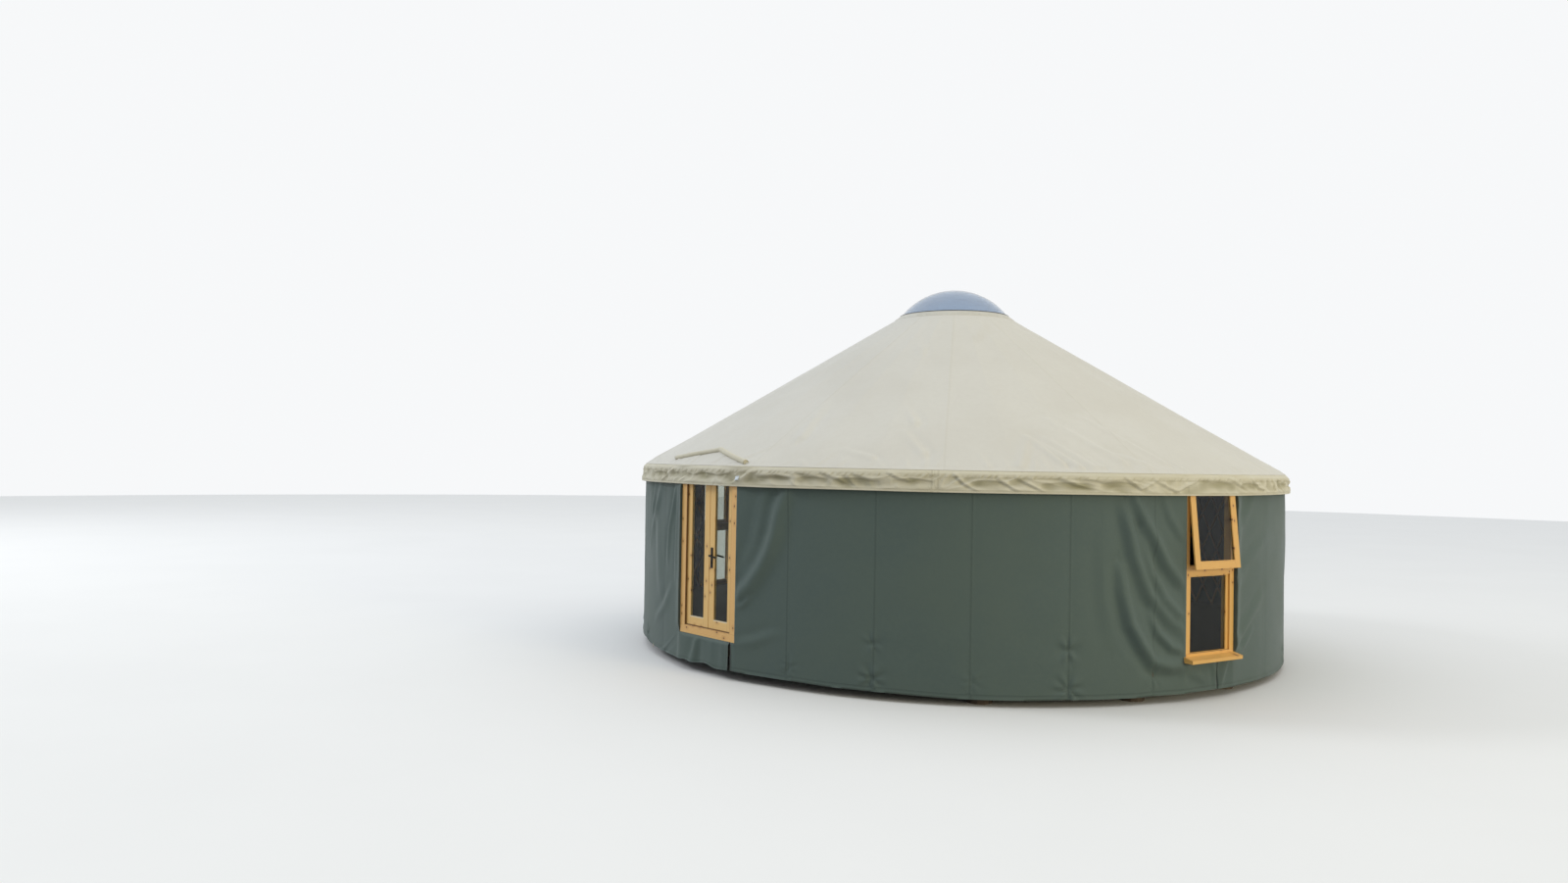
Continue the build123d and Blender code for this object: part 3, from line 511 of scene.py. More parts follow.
dress(door_pine, "door_frame")
dress(leaf_pine, "left_leaf", "right_leaf")
dress(window_pine, "window_frames", "window_sashes", "window_sills")
dress(lattice_timber, *[f"wall_lattice_{i}" for i in range(1, 10)])
dress(rafter_timber, "rafters", "crown_ring")
dress(deck_boards, "floor_deck")
dress(under_timber, "floor_rim", "floor_joists", "floor_bearers", "floor_stumps")
dress(pane_glass, "left_leaf_glass", "right_leaf_glass", "window_panes")
dress(dome_acrylic, "dome")
dress(curb_paint, "dome_curb")
dress(black_iron, "handle_plates", "lever_handles")
dress(zinc_steel, "jamb_hinges", "left_leaf_hinges", "right_leaf_hinges")
print("finishes", len(bpy.data.materials))

# %% [markdown]
# ## The studio floor
# A pale floor would throw light up into the folds and take their shade away. It looks pale to the camera,
# in mirrors and through glass, and is a middling grey to the light that it bounces.

# %% The studio floor
PALE, SCUFFED, MIDDLING = (0.86, 0.86, 0.86, 1), (0.82, 0.82, 0.82, 1), (0.34, 0.33, 0.31, 1)
pale_floor, nodes, shader = new_finish("pale_floor", Roughness=0.9, Specular_IOR_Level=0.1)
grit = nodes.group(clouds, {"Size": 2.5, "Seed": 3.0})["Amount"]
nodes.feed(shader, {"Base Color": nodes.mix(nodes.seen(), MIDDLING, nodes.stain(PALE, grit, 0.3, SCUFFED))})
studio_floor.data.materials.append(pale_floor)
print("floor", studio_floor.name)

# %% [markdown]
# ## Laying out cloth
# A cover is cut flat and bent round the frame, so each piece starts as a flat grid. Its columns are turns
# round the wall and its rows are heights, and every corner is moved to its place with the folds added.
# The UV map keeps the flat size in metres, for the weave and the stitches.

# %% Cloth helpers
WALL = 4.4985
ROOF_ANGLE = math.radians(30.91)
ROOF_SLOPE = math.tan(ROOF_ANGLE)
EAVE = (4.511, 2.517)


def outwards(turn):
    return Vector((math.sin(math.radians(turn)), -math.cos(math.radians(turn)), 0.0))


def spot_on(radius, turn, height):
    return outwards(turn) * radius + Vector((0, 0, height))


def arc(turn, radius=WALL):
    return math.radians(turn) * radius


def around(turn):
    # The same turn, between half a circle back and half a circle on
    return (turn + 180) % 360 - 180


def spread(first, last, step):
    count = max(1, round(abs(last - first) / step))
    return [first + (last - first) * i / count for i in range(count + 1)]


def spread_round(fine, coarse):
    # Closer columns on the side where the doors and the front window are
    return spread(0.0, 108.0, fine)[:-1] + spread(108.0, 328.0, coarse)[:-1] + spread(328.0, 360.0, fine)


def add_object(name, shape, finish, body="yurt"):
    mesh = bpy.data.meshes.new(name)
    shape.to_mesh(mesh)
    shape.free()
    made = bpy.data.objects.new(name, mesh)
    scene.collection.objects.link(made)
    mesh.materials.append(finish)
    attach(made, body)
    return made


def join_shapes(shapes):
    whole = bmesh.new()
    mesh = bpy.data.meshes.new("passing")
    for shape in shapes:
        shape.to_mesh(mesh)
        whole.from_mesh(mesh)
        shape.free()
    bpy.data.meshes.remove(mesh)
    return whole


def cloth_grid(columns, rows, place, keep=None, closed=False):
    # columns and rows are flat positions; place(column, row) gives the spot, its place on the flat cloth in
    # metres, its distance from the nearest seam and, for some, how much painted shade it gets
    shape = bmesh.new()
    across, up = len(columns) - 1, len(rows) - 1
    bmesh.ops.create_grid(shape, x_segments=across, y_segments=up, size=0.5)
    flat = shape.loops.layers.uv.new("cloth")
    seam, painted_shade = shape.verts.layers.float.new("seam"), shape.verts.layers.float.new("painted_shade")
    cells = {vert: (columns[round((vert.co.x + 0.5) * across)], rows[round((vert.co.y + 0.5) * up)])
             for vert in shape.verts}
    if keep:
        unwanted = [face for face in shape.faces if not keep(
            *[sum(cells[vert][axis] for vert in face.verts) / 4 for axis in (0, 1)])]
        bmesh.ops.delete(shape, geom=unwanted, context="FACES")
    spots = {}
    for vert in shape.verts:
        spots[vert], cut, vert[seam], *depth = place(*cells[vert])
        # Painted shade, 0 where place gives none
        vert[painted_shade] = depth[0] if depth else 0.0
        for loop in vert.link_loops:
            loop[flat].uv = cut
    for vert, place_at in spots.items():
        vert.co = place_at
    if closed:
        bmesh.ops.remove_doubles(shape, verts=shape.verts[:], dist=1e-5)
    return smoothed(shape)


def smoothed(shape):
    for face in shape.faces:
        face.smooth = True
    return shape


def thicken(piece, thickness):
    # A cut edge is sharp, so that its narrow rim doesn't shade the cloth beside it
    shape = bmesh.new()
    shape.from_mesh(piece.data)
    for edge in shape.edges:
        if edge.is_boundary:
            edge.smooth = False
    shape.to_mesh(piece.data)
    shape.free()
    solid = piece.modifiers.new("thickness", "SOLIDIFY")
    solid.thickness = thickness
    solid.offset = -1.0
    solid.use_even_offset = False


print("cloth helpers ready")

# %% [markdown]
# ## Folds
# A fold is a line on the cloth with a rounded ridge beside a shallower trough. Each one here was traced
# on the photograph as turns and heights, and it dies away towards both ends. A pucker is a star of short
# folds round a spot where the cover is tied down inside.

# %% Fold helpers
FOLD_GAIN = 2.2
FOLD_REACH = 3.2


def beside_line(x, y, points):
    # The distance from a line of points, counted to one side of it, and how far along it that is
    best, along, side = 1e9, 0.0, 1.0
    for i, ((ax, ay), (bx, by)) in enumerate(zip(points, points[1:])):
        dx, dy = bx - ax, by - ay
        t = min(1.0, max(0.0, ((x - ax) * dx + (y - ay) * dy) / (dx * dx + dy * dy)))
        px, py = ax + dx * t - x, ay + dy * t - y
        distance = px * px + py * py
        if distance < best:
            best, along, side = distance, (i + t) / (len(points) - 1), 1.0 if dx * py - dy * px > 0 else -1.0
    return math.sqrt(best) * side, along


def ridge(signed, trough):
    # A rounded ridge on one side and a shallower trough on the other
    return math.exp(-signed * signed) - trough * math.exp(-(signed - 1.5) ** 2)


def fold_height(turn, height, line, width, depth):
    signed, along = beside_line(arc(turn), height, [(arc(at), up) for at, up in line])
    if abs(signed) > FOLD_REACH * width:
        return 0.0
    ends = math.sin(math.pi * min(1.0, max(0.0, 0.06 + 0.9 * along))) ** 0.6
    return depth * ends * ridge(signed / width, 0.55)


def pucker_height(turn, height, spot, reach, depth, rays, start):
    x, y = arc(turn - spot[0]), height - spot[1]
    distance = math.hypot(x, y) / reach
    if distance > 1.6:
        return 0.0
    angle = math.atan2(y, x)
    star = math.cos(angle * rays + start + 1.3 * math.sin(angle * 2 + start))
    folds = star * distance * math.exp(-(distance * 1.7) ** 2) * 2.2
    return depth * (folds - 0.9 * math.exp(-(distance * 5) ** 2))


def near(lines, turn, margin=5.0):
    # Only the folds that pass close to this turn, so that far ones cost nothing
    found = []
    for one in lines:
        turns = [point[0] for point in one[0]]
        if min(turns) - margin < turn < max(turns) + margin:
            found.append(one)
    return found


def nearest(*distances):
    return min(distances, key=abs)


# %% Folds and puckers of the wall
# The turns and heights of a fold's line, then its width and depth
WALL_FOLDS = [
    # Beside the right jamb of the doors, sweeping down to it
    ([(16.1, 2.33), (15.7, 2.215), (14.7, 2.0), (14.0, 1.75), (13.0, 1.54), (11.6, 1.35), (9.7, 1.15),
      (7.8, 1.03), (6.7, 0.98)], 0.1, 0.028),
    ([(12.6, 2.35), (11.9, 1.92), (10.8, 1.6), (8.6, 1.3), (7.0, 1.2)], 0.1, 0.012),
    ([(9.8, 1.0), (8.4, 0.9), (6.9, 0.87)], 0.03, 0.006),
    ([(14.5, 0.62), (10.5, 0.5), (7.0, 0.44)], 0.06, 0.006),
    # Left of the doors, hanging nearly straight
    ([(350.8, 2.3), (349.4, 2.0), (347.9, 1.7), (347.1, 1.3)], 0.05, 0.012),
    ([(343.4, 2.25), (342.3, 2.04), (339.6, 1.8), (338.5, 1.6)], 0.07, 0.012),
    ([(340.5, 2.3), (338.0, 1.9), (337.0, 1.4)], 0.06, 0.009),
    ([(351.7, 2.35), (351.1, 1.7), (350.6, 1.1)], 0.04, 0.008),
    ([(349.0, 0.95), (345.5, 0.66), (342.0, 0.5)], 0.07, 0.008),
    # Left of the window, hooked up to its frame
    ([(66.2, 2.35), (66.6, 2.23), (68.0, 2.02), (69.8, 1.81), (71.7, 1.55), (73.95, 1.36), (75.3, 1.3)],
     0.07, 0.024),
    ([(65.0, 2.2), (65.3, 2.02), (66.5, 1.63), (68.9, 1.22), (72.3, 0.95), (75.3, 0.78)], 0.08, 0.023),
    ([(64.4, 1.5), (64.7, 1.22), (65.9, 0.89), (67.8, 0.65), (69.7, 0.463), (72.8, 0.40), (75.4, 0.41)],
     0.07, 0.027),
    ([(67.6, 1.9), (69.3, 1.45), (71.6, 1.16), (74.0, 0.99), (75.4, 0.96)], 0.055, 0.016),
    ([(69.2, 1.0), (70.6, 0.78), (72.8, 0.62), (75.3, 0.56)], 0.05, 0.016),
    ([(71.2, 2.3), (72.4, 2.05), (74.2, 1.86), (75.3, 1.8)], 0.05, 0.008),
    ([(61.5, 1.9), (61.9, 1.2), (62.9, 0.7)], 0.09, 0.006),
    # Right of the window
    ([(96.8, 1.76), (93.0, 1.62), (89.9, 1.5), (88.3, 1.39), (86.4, 1.2)], 0.08, 0.007),
    ([(92.5, 2.3), (90.0, 2.1), (87.6, 1.9), (86.2, 1.75)], 0.08, 0.006),
    ([(95.5, 1.1), (91.0, 0.85), (88.0, 0.66), (86.0, 0.58)], 0.07, 0.008),
    ([(92.0, 0.72), (88.5, 0.52), (85.9, 0.45)], 0.04, 0.009),
    # Round the window at the back
    ([(271.0, 2.25), (272.8, 1.85), (274.9, 1.5), (278.7, 1.3)], 0.06, 0.015),
    ([(269.2, 2.1), (271.8, 1.3), (274.9, 1.0), (278.7, 0.78)], 0.075, 0.013),
    ([(268.5, 0.9), (272.5, 0.6), (278.7, 0.42)], 0.065, 0.014),
    ([(297.4, 1.75), (292.8, 1.5), (289.6, 1.2)], 0.055, 0.012),
    ([(298.4, 1.1), (293.9, 0.85), (289.6, 0.58)], 0.06, 0.01),
]
WALL_PUCKERS = [
    # turn and height, reach, depth, rays, start
    ((29.6, 0.243), 0.17, 0.010, 5, 0.4), ((29.66, 0.62), 0.13, 0.007, 4, 1.8),
    ((56.71, 0.2), 0.19, 0.011, 6, 1.1), ((56.63, 0.618), 0.16, 0.011, 4, 2.9),
    ((70.1, 0.29), 0.13, 0.008, 5, 2.0), ((43.5, 0.26), 0.13, 0.005, 5, 0.2),
    ((16.9, 0.27), 0.12, 0.005, 5, 1.0),
]
for turn in WINDOWS:
    # Beside the slit under the sill
    WALL_FOLDS.append(([(turn + 0.6, 0.43), (turn + 1.2, 0.28), (turn + 1.5, 0.12)], 0.035, 0.007))
    WALL_FOLDS.append(([(turn + 3.9, 0.42), (turn + 2.9, 0.27), (turn + 2.4, 0.13)], 0.045, 0.012))
    WALL_FOLDS.append(([(turn - 5.4, 0.36), (turn - 2.5, 0.27), (turn - 0.5, 0.2)], 0.05, 0.007))
for turn in range(112, 340, 14):
    lean = 2 * math.sin(turn)
    if min(abs(turn - middle) for middle in WINDOWS) > 14:
        WALL_PUCKERS.append(((turn + lean, 0.24), 0.15, 0.008, 5, turn * 1.0))
        WALL_FOLDS.append(([(turn + 5, 2.3), (turn + 6 + lean, 1.5), (turn + 7.5, 0.9)], 0.1, 0.006))
# The turns of the cover's upright seams
DROP_SEAMS = [16.5, 30.0, 43.3, 56.9, 70.0, 96.3, *[109.6 + 13.33 * i for i in range(12)],
              296.0, 309.3, 322.6, 334.0, 345.7]
print("folds", len(WALL_FOLDS), "puckers", len(WALL_PUCKERS), "seams", len(DROP_SEAMS))

# %% [markdown]
# ## The wall cover
# The cover wraps the lattice in three lengths, from opening to opening. Beside a frame it is drawn tight
# to the frame's outer edge, which stands a little outside the round of the wall, so there the cloth leaves
# the circle and runs straight. On one side of each opening it stands proud of the frame and its edge turns
# in to it, which leaves a dark strip in the photograph. Under a window two lengths meet at a slit. The hem
# hangs a hand above the ground and is not quite level.

# %% The round of the wall
DOOR_HALF, WINDOW_HALF = 0.545, 0.421
FRAME_FACE = WALL + 0.0015
UNDER_FRAME, COVER_TOP = 0.4485, 2.47
HEM_LEVELS = [
    # turn, height
    (-26, 0.148), (-19.7, 0.12), (-13, 0.115), (5, 0.118), (9, 0.111), (17, 0.111), (24, 0.1), (31, 0.097),
    (42, 0.08), (50, 0.08), (57, 0.087), (67, 0.087), (70, 0.094), (83, 0.097), (100, 0.088), (130, 0.1),
    (180, 0.108), (230, 0.096), (284, 0.104), (310, 0.118), (334, 0.148),
]


def edge_turn(half_width):
    return math.degrees(math.asin(half_width / WALL))


door_edge, window_edge = edge_turn(DOOR_HALF), edge_turn(WINDOW_HALF)
OPENINGS = [(0.0, DOOR_HALF), (360.0, DOOR_HALF), *[(turn, WINDOW_HALF) for turn in WINDOWS]]
# The edges that stand proud: turn, how far along the wall it reaches, how much
PROUD_EDGES = [(360 - door_edge, -2.4, 0.024), *[(turn + window_edge, 2.6, 0.04) for turn in WINDOWS]]


def smooth(value):
    value = min(1.0, max(0.0, value))
    return value * value * (3 - 2 * value)


def hem_level(turn):
    turn = turn if turn <= 334 else turn - 360
    for (a, low), (b, high) in zip(HEM_LEVELS, HEM_LEVELS[1:]):
        if a <= turn <= b:
            return low + (high - low) * smooth((turn - a) / (b - a))


def stand_out(turn, height):
    # How far the cloth stands off the circle where it is drawn to a frame's corner
    most, turn = 0.0, turn % 360
    for middle, half in OPENINGS:
        reach = math.degrees(math.acos(WALL / math.hypot(FRAME_FACE, half)))
        aside, edge = abs(turn - middle), edge_turn(half)
        if aside < edge:
            most = max(most, FRAME_FACE / math.cos(math.radians(aside)) - WALL)
        elif aside - edge < reach:
            most = max(most, WALL / math.cos(math.radians(reach - aside + edge)) - WALL)
    between = smooth((height - 0.44) / 0.14) * smooth((2.42 - height) / 0.2)
    for edge, reach, proud in PROUD_EDGES:
        beyond = (turn - edge) / reach
        if -0.2 < beyond < 1:
            most += proud * smooth(1 - beyond) * between
    return most


def cover_radius(turn, height, folds, puckers):
    relief = sum(fold_height(turn, height, *one) for one in folds)
    relief += sum(pucker_height(turn, height, *one) for one in puckers)
    place_at = spot_on(WALL, turn, height)
    relief = relief * FOLD_GAIN + 0.005 * noise.noise(place_at * 1.1) + 0.003 * noise.noise(place_at * 3.1)
    from_seam = nearest(*[arc(turn - seam) for seam in DROP_SEAMS])
    if abs(from_seam) < 0.25:
        relief += (0.002 if -0.024 < from_seam < 0.0 else 0) - 0.0035 * math.exp(-(from_seam / 0.07) ** 2)
    edge = arc(nearest(*[abs(turn - middle) - edge_turn(half) for middle, half in OPENINGS]))
    relief *= min(1.0, 0.3 + abs(edge) / 0.1) * smooth((2.44 - height) / 0.2)
    if edge < 0:
        # Under an opening the cloth is tucked up behind the frame; beside it, it may lap the frame's edge
        relief *= smooth((UNDER_FRAME + 0.004 - height) / 0.06)
    if -0.03 < edge < 0.01 and height > UNDER_FRAME - 0.03:
        relief = max(relief, 0.0055)
    above_hem = height - hem_level(turn)
    relief += 0.004 * math.exp(-(above_hem / 0.02) ** 2)
    return WALL + stand_out(turn, height) + relief, nearest(from_seam + 0.012, above_hem - 0.045)


# %% The wall cover
# How near the axis the cover's edge is bent on its way in, and where it ends
TUCK_BEND, TUCK_END = 4.482, 4.462


def turn_in(shape, first, gap):
    # The upright edges beside the frames are carried on inwards, round a small bend
    def open_edges(edges):
        return [edge for edge in edges
                if edge.is_boundary and abs(edge.verts[0].co.z - edge.verts[1].co.z) > 1e-4]

    border = open_edges(shape.edges)
    for step in range(3):
        grown = bmesh.ops.extrude_edge_only(shape, edges=border)["geom"]
        for vert in [item for item in grown if isinstance(item, bmesh.types.BMVert)]:
            away = Vector((vert.co.x, vert.co.y, 0)).normalized()
            radius = vert.co.xy.length
            side = 1.0 if abs((math.degrees(math.atan2(away.x, -away.y)) - first) % 360) < 90 else -1.0
            inward = (0.005, 0.5 * (radius - TUCK_BEND), radius - TUCK_END)[step]
            vert.co -= away * inward
            vert.co += Vector((away.y, -away.x, 0)) * side * (0.003, gap * 0.4, gap * 0.5)[step]
        border = open_edges([item for item in grown if isinstance(item, bmesh.types.BMEdge)])
    return smoothed(shape)


def wall_place(turn, row):
    # Rows run from 0 at the hem to 1 at the bottom of the frames and 2 at the top
    bottom = hem_level(turn)
    if row <= 1:
        height = bottom + (UNDER_FRAME - bottom) * row
    else:
        height = UNDER_FRAME + (COVER_TOP - UNDER_FRAME) * (row - 1)
    puckers = [one for one in WALL_PUCKERS if abs(one[0][0] - turn) < 3.5]
    radius, seam = cover_radius(turn, height, near(WALL_FOLDS, turn), puckers)
    return spot_on(radius, turn, height), (arc(turn), height), seam


def wall_length(name, first, last, slit, next_slit, nodes, step, gap=0.014):
    start = first + math.degrees(gap / WALL)
    columns = spread(slit, start, 0.3)[:-1] + spread(start, last, step)
    if next_slit > last:
        columns += spread(last, next_slit, 0.3)[1:]
    rows = spread(0.0, 1.0, 1 / 14)[:-1] + spread(1.0, 2.0, 1 / (84 if step < 0.3 else 64))
    shape = cloth_grid(columns, rows, wall_place, keep=lambda turn, row: start < turn < last or row < 1)
    made = add_object(name, turn_in(shape, start, gap), wall_cloth)
    thicken(made, 0.004)
    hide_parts(*nodes)
    return made


coarse = 1.0
front_window, back_window = WINDOWS
walls = [
    wall_length("wall_cover_front", door_edge, front_window - window_edge + 0.19, 5.95, front_window + 1.74,
                ["wall_canvas_1", "wall_canvas_2", "window_aprons"], 0.25 * coarse, 0.0),
    wall_length("wall_cover_back", front_window + window_edge, back_window - window_edge, front_window + 1.86,
                back_window + 1.74, [f"wall_canvas_{i}" for i in range(3, 8)], 0.42 * coarse),
    wall_length("wall_cover_left", back_window + window_edge, 360 - door_edge, back_window + 1.86, 0.0,
                ["wall_canvas_8", "wall_canvas_9"], 0.3 * coarse),
]
print("wall cover", [len(piece.data.polygons) for piece in walls])

# %% [markdown]
# ## The flap under the doors
# The length on the left ends in a flap that closes the space between the door frame and the ground. It is
# longer than it needs to be, so it comes forward below the frame, hangs in soft pleats and its hem lifts.
# Its top edge is tucked under the frame, and it laps over the wall cover on the left.

# %% The flap
FLAP_LEFT, FLAP_RIGHT = (-16.5, -8.3), 5.82
FLAP_TOP, FLAP_HEM, SHELF = UNDER_FRAME + 0.0008, 0.118, 0.026
PLEATS = [
    # turn, lean, width, depth
    (-7.6, -7.0, 0.06, 0.018), (-4.6, -0.6, 0.09, 0.008), (-1.9, -1.0, 0.06, 0.03), (1.6, 0.3, 0.09, 0.01),
    (4.2, 0.3, 0.06, 0.01),
]
# Where the flap's hem lifts or sinks: turn, width, rise
HEM_LIFTS = [(0.4, 1.6, 0.024), (3.2, 1.3, -0.012), (-5.0, 1.2, 0.012)]


def flap_place(across, up):
    left = FLAP_LEFT[0] + (FLAP_LEFT[1] - FLAP_LEFT[0]) * up ** 0.8
    beside = left + (FLAP_RIGHT - left) * across
    bottom = FLAP_HEM + sum(rise * math.exp(-((beside - at) / wide) ** 2) for at, wide, rise in HEM_LIFTS)
    height = bottom + (FLAP_TOP - bottom) * up
    # On the left it follows the wall cover that it laps, then it hangs from the flat frame
    turn, wall_turn = beside % 360, (min(beside, -door_edge)) % 360
    lapped = cover_radius(wall_turn, height, near(WALL_FOLDS, wall_turn), [])[0]
    lapped -= WALL + stand_out(wall_turn, height)
    under = WALL + stand_out(turn, height) + lapped * smooth(1 - (beside + door_edge) / 1.2)
    relief = 0.0
    for at, lean, width, depth in PLEATS:
        signed = arc(beside - at - lean * (1 - up)) / (width * (1.3 - 0.6 * up))
        relief += depth * ridge(signed, 0.5) * (0.35 + 0.65 * (1 - up))
    relief *= smooth((FLAP_TOP - height) / 0.07) * smooth(across * 6) * smooth((1 - across) * 14)
    relief += 0.01 * (1 - up) ** 3 * min(1.0, across * 5)
    # From under the frame the cloth first comes forward as a small sloping shelf
    shelf = SHELF * smooth((FLAP_TOP - height) / 0.034) * smooth((beside + 8.2) / 2.2)
    radius = under + 0.0015 + shelf + max(relief, -0.008 * smooth(across * 4 - 1))
    seam = nearest(height - bottom - 0.03, arc(beside - FLAP_RIGHT) + 0.03)
    return spot_on(radius, turn, height), (arc(beside), height), seam


flap = add_object("door_flap", cloth_grid(
    spread(0.0, 1.0, 1 / 110), spread(0.0, 1.0, 1 / 28), flap_place), wall_cloth)
thicken(flap, 0.003)
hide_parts("door_apron")
print("flap", len(flap.data.polygons))

# %% [markdown]
# ## The roof cover
# Twelve gores are welded with narrow laps that run from the eave to the crown. The cloth is tight, so it
# sinks only a little between the rafters and shows short creases above the eave, where it bends down
# into the valance.

# %% The roof cover
def on_slope(radius):
    return EAVE[1] + (EAVE[0] - radius) * ROOF_SLOPE


ROOF_CREASES = [
    # turn and radius of both ends, width, depth
    ((56.2, 4.36), (52.9, 3.86), 0.035, 0.010), ((58.6, 4.42), (53.1, 3.84), 0.04, 0.009),
    ((49.9, 4.42), (52.6, 3.9), 0.05, 0.007), ((60.7, 4.4), (56.0, 3.9), 0.05, 0.007),
    ((66.0, 4.3), (58.5, 3.5), 0.06, 0.008), ((36.0, 4.2), (32.0, 3.8), 0.05, 0.007),
    ((33.5, 3.6), (31.0, 3.3), 0.05, 0.006), ((28.5, 4.3), (23.0, 4.15), 0.04, 0.006),
    ((70.0, 4.35), (63.0, 4.0), 0.04, 0.005), ((13.0, 3.9), (10.5, 3.2), 0.07, 0.006),
    ((52.0, 1.5), (62.0, 1.15), 0.06, 0.006), ((28.0, 1.9), (20.0, 1.5), 0.05, 0.005),
    ((73.5, 4.3), (66.0, 3.4), 0.05, 0.007), ((6.0, 4.35), (9.0, 4.1), 0.04, 0.005),
    ((62.0, 4.4), (60.0, 4.1), 0.03, 0.007), ((-14.0, 4.42), (-12.0, 4.2), 0.03, 0.006),
    ((-6.0, 4.45), (-7.5, 4.25), 0.03, 0.006),
]
for turn in range(100, 340, 23):
    ROOF_CREASES.append(((turn, 4.38), (turn + 4 * math.sin(turn), 3.95), 0.05, 0.006))
random.seed(5)
turn = 0.0
while turn < 359:
    # Short gathers that run up from the eave
    lean, reach = random.uniform(-1.6, 1.6), random.uniform(0.08, 0.3)
    width, depth = random.uniform(0.016, 0.034), random.uniform(0.002, 0.0045)
    ROOF_CREASES.append(((turn, 4.45), (turn + lean, 4.45 - reach), width, depth))
    turn += random.uniform(1.6, 4.6)
crease_lines = []
for start, end, width, depth in ROOF_CREASES:
    ends = [tuple((outwards(turn) * radius).xy) for turn, radius in (start, end)]
    crease_lines.append((ends, width, depth, (start[0] + end[0]) / 2))
CREASE_GAIN, SLOPE_STRETCH = 3.0, 1.1655
FIRST_SEAM, SEAMS_APART, RAFTERS_APART = 9.0, 30, 10.0
# Where the cloth leaves the crown ring and how far it runs to the eave
SPAN_START, SPAN_RUN = 0.85, 3.68


def crease_height(place_at, ends, width, depth):
    signed, along = beside_line(place_at.x, place_at.y, ends)
    if abs(signed) > FOLD_REACH * width:
        return 0.0
    return depth * (1 - 0.75 * along) * ridge(signed / width, 0.6)


def roof_place(turn, radius):
    place_at = outwards(turn) * radius
    between = (turn - FIRST_SEAM) % RAFTERS_APART / RAFTERS_APART
    down = min(1.0, max(0.0, radius - SPAN_START) / SPAN_RUN)
    sag = 0.008 * math.sin(math.pi * between) * math.sin(math.pi * down) ** 0.5
    from_seam = arc((turn - FIRST_SEAM + SEAMS_APART / 2) % SEAMS_APART - SEAMS_APART / 2, radius)
    lap = 0.0022 if 0.0 < from_seam < 0.04 else 0.0
    relief = lap - sag + 0.006 * noise.noise(place_at * 1.3) + 0.0022 * noise.noise(place_at * 4.0)
    for ends, width, depth, middle in crease_lines:
        if abs(around(turn - middle)) < 16:
            relief += CREASE_GAIN * crease_height(place_at, ends, width, depth)
    # Flat where it runs under the curb and under the valance
    relief = relief * smooth((radius - 0.9) / 0.15) - 0.001 * smooth((1.0 - radius) / 0.1)
    relief = relief * smooth((4.5 - radius) / 0.07) - 0.002 * smooth((radius - 4.42) / 0.03)
    place_at = spot_on(radius, turn, on_slope(radius) + relief)
    return place_at, (arc(turn, radius), radius * SLOPE_STRETCH), from_seam - 0.02


roof_rows = spread(0.8, 3.2, 0.1)[:-1] + spread(3.2, 4.42, 0.034 * coarse) + [4.445, 4.47, 4.49, 4.5]
roof_cover = add_object("roof_cover", cloth_grid(
    spread_round(0.34 * coarse, 0.9 * coarse), roof_rows, roof_place, closed=True), roof_cloth)
thicken(roof_cover, 0.012)
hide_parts(*[f"roof_canvas_{i}" for i in range(1, 13)])
print("roof cover", len(roof_cover.data.polygons))

# %% [markdown]
# ## The valance
# The roof cover's edge folds down over the eave as a valance. It is longer round than the eave that it
# hangs from, because a rope drawn tight just below the bend gathers it, so its cloth bulges above the rope,
# falls in scoops between slanting ridges below it, and flares to the hem. A row of stitches holds the rope
# and a thick hem edges the bottom.

# %% The valance
random.seed(12)
ROPE_FALL, HEM_FALL = 2.462, 2.291
LAP_ON_ROOF = [4.48, 4.455, 4.43]
# Radius and height, from the lap down to the hem
PROFILE = [(4.5, 2.5245), (4.5125, 2.519), (4.5235, 2.5105), (4.532, 2.500), (4.5385, 2.488), (4.5415, 2.475),
           (4.5395, 2.464), (4.5405, 2.455)]
PROFILE += [(4.5405 + 0.0195 * (i / 20) ** 1.9, 2.455 - 0.149 * i / 20) for i in range(1, 21)]
PROFILE += [(4.5635, 2.3015), (4.5645, 2.296), (4.562, 2.291)]
RELIEF_GAIN, DEEPEST, HIGHEST = 1.7, -0.03, 0.022
# The outer face of an open sash at this height, and how much nearer it comes for each metre up
SASH_FACE, SASH_LEVEL, SASH_LEAN = 4.5355, 2.3, 0.098
